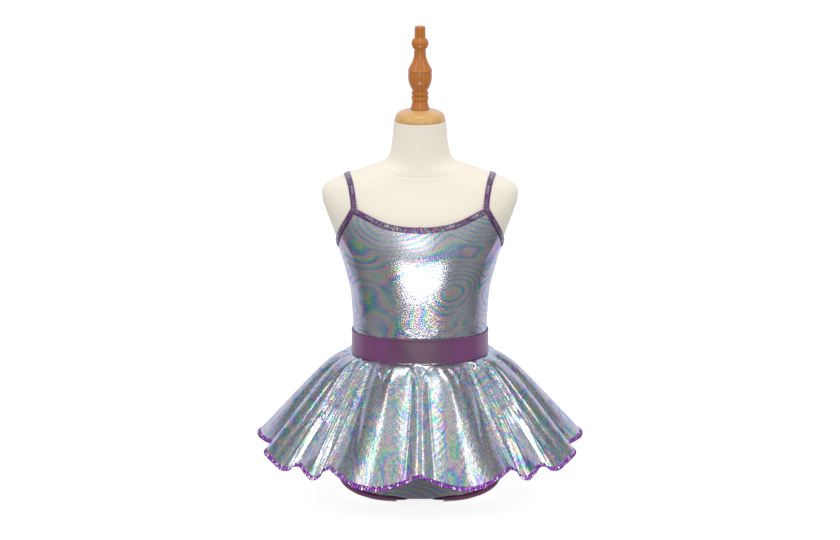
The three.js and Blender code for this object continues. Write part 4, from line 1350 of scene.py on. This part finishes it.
def makeCamera():
    camera = bpy.data.cameras.new("camera")
    holder = bpy.data.objects.new("camera", camera)
    bpy.context.scene.collection.objects.link(holder)
    camera.sensor_width = studioSizes["sensor"]
    camera.lens = studioSizes["sensor"] * studioSizes["distance"] / studioSizes["frameWidth"]
    camera.clip_end = studioSizes["clipEnd"]
    tilt = math.radians(studioSizes["elevation"])
    back = Vector((0, -math.cos(tilt), math.sin(tilt)))
    holder.location = Vector((0, 0, studioSizes["aim"])) + back * studioSizes["distance"]
    holder.rotation_mode = "QUATERNION"
    holder.rotation_quaternion = (-back).to_track_quat("-Z", "Y")
    bpy.context.scene.camera = holder


def makeLights():
    for name, shape, place, aim, width, height, brightness, onMatt in studioSizes["lights"]:
        light = bpy.data.lights.new(name, "AREA")
        light.shape, light.size, light.size_y = shape, width, height
        light.energy = brightness * math.pi * width * height
        holder = bpy.data.objects.new(name, light)
        bpy.context.scene.collection.objects.link(holder)
        holder.location = place
        holder.visible_camera = False
        holder.visible_diffuse = onMatt
        towards = Vector(aim) - Vector(place)
        holder.rotation_mode = "QUATERNION"
        holder.rotation_quaternion = towards.to_track_quat("-Z", "Y")


# Tone of the surroundings that shining surfaces mirror, from the direction.
def surroundings(tree, direction, tones):
    parts = addNode(tree, "ShaderNodeSeparateXYZ", {0: direction}).outputs
    backness = mathNode(tree, "MULTIPLY_ADD", parts["Y"], 0.5)
    backness.node.inputs[2].default_value = 0.5
    return rampNode(tree, backness, studioSizes[tones])


# The floor is a pale matt plane that glows a little, so that it ends in the white behind it. Shining
# surfaces mirror its own darker tones.
def makeFloor():
    deselect()
    bpy.ops.mesh.primitive_plane_add(size=studioSizes["floorSize"], location=(0, 0, 0))
    floor = bpy.context.object
    floor.name = "floor"
    material, tree, shader = newMaterial("paleFloor")
    rays = addNode(tree, "ShaderNodeLightPath").outputs
    place = addNode(tree, "ShaderNodeTexCoord").outputs["Object"]
    way = vectorNode(tree, "NORMALIZE", vectorNode(tree, "MULTIPLY", place, (1, 1, 0)))
    tones = surroundings(tree, way, "onFloor")
    tree.links.new(mixColour(tree, rays["Is Glossy Ray"], studioSizes["floorColour"], black),
                   shader.inputs["Base Color"])
    tree.links.new(mixColour(tree, rays["Is Glossy Ray"], white, tones), shader.inputs["Emission Color"])
    shader.inputs["Roughness"].default_value = 1.0
    shader.inputs["Specular IOR Level"].default_value = 0.0
    seen = mathNode(tree, "MULTIPLY", rays["Is Camera Ray"], studioSizes["floorSeen"])
    glow = mathNode(tree, "MAXIMUM", rays["Is Glossy Ray"], seen)
    glow = mathNode(tree, "MAXIMUM", glow, studioSizes["floorGlow"])
    tree.links.new(glow, shader.inputs["Emission Strength"])
    floor.data.materials.append(material)


def makeWorld():
    world = bpy.data.worlds.new("studio")
    bpy.context.scene.world = world
    world.use_nodes = True
    tree = world.node_tree
    tree.nodes.clear()
    tones = surroundings(tree, addNode(tree, "ShaderNodeTexCoord").outputs["Generated"], "around")
    rays = addNode(tree, "ShaderNodeLightPath").outputs
    matt = addNode(tree, "ShaderNodeBackground", {"Color": (1, 1, 1, 1), "Strength": studioSizes["matt"]})
    mirrored = addNode(tree, "ShaderNodeBackground", {"Color": tones, "Strength": 1.0})
    seen = addNode(tree, "ShaderNodeBackground", {"Color": (1, 1, 1, 1), "Strength": 1.0})
    inside = addNode(tree, "ShaderNodeMixShader", {0: rays["Is Diffuse Ray"], 1: mirrored.outputs[0],
                                                   2: matt.outputs[0]})
    whole = addNode(tree, "ShaderNodeMixShader", {0: rays["Is Camera Ray"], 1: inside.outputs[0],
                                                  2: seen.outputs[0]})
    tree.links.new(whole.outputs[0], addNode(tree, "ShaderNodeOutputWorld").inputs[0])


makeCamera()
makeLights()
makeFloor()
makeWorld()
bpy.context.scene.view_settings.view_transform = "Standard"
print("studio made")
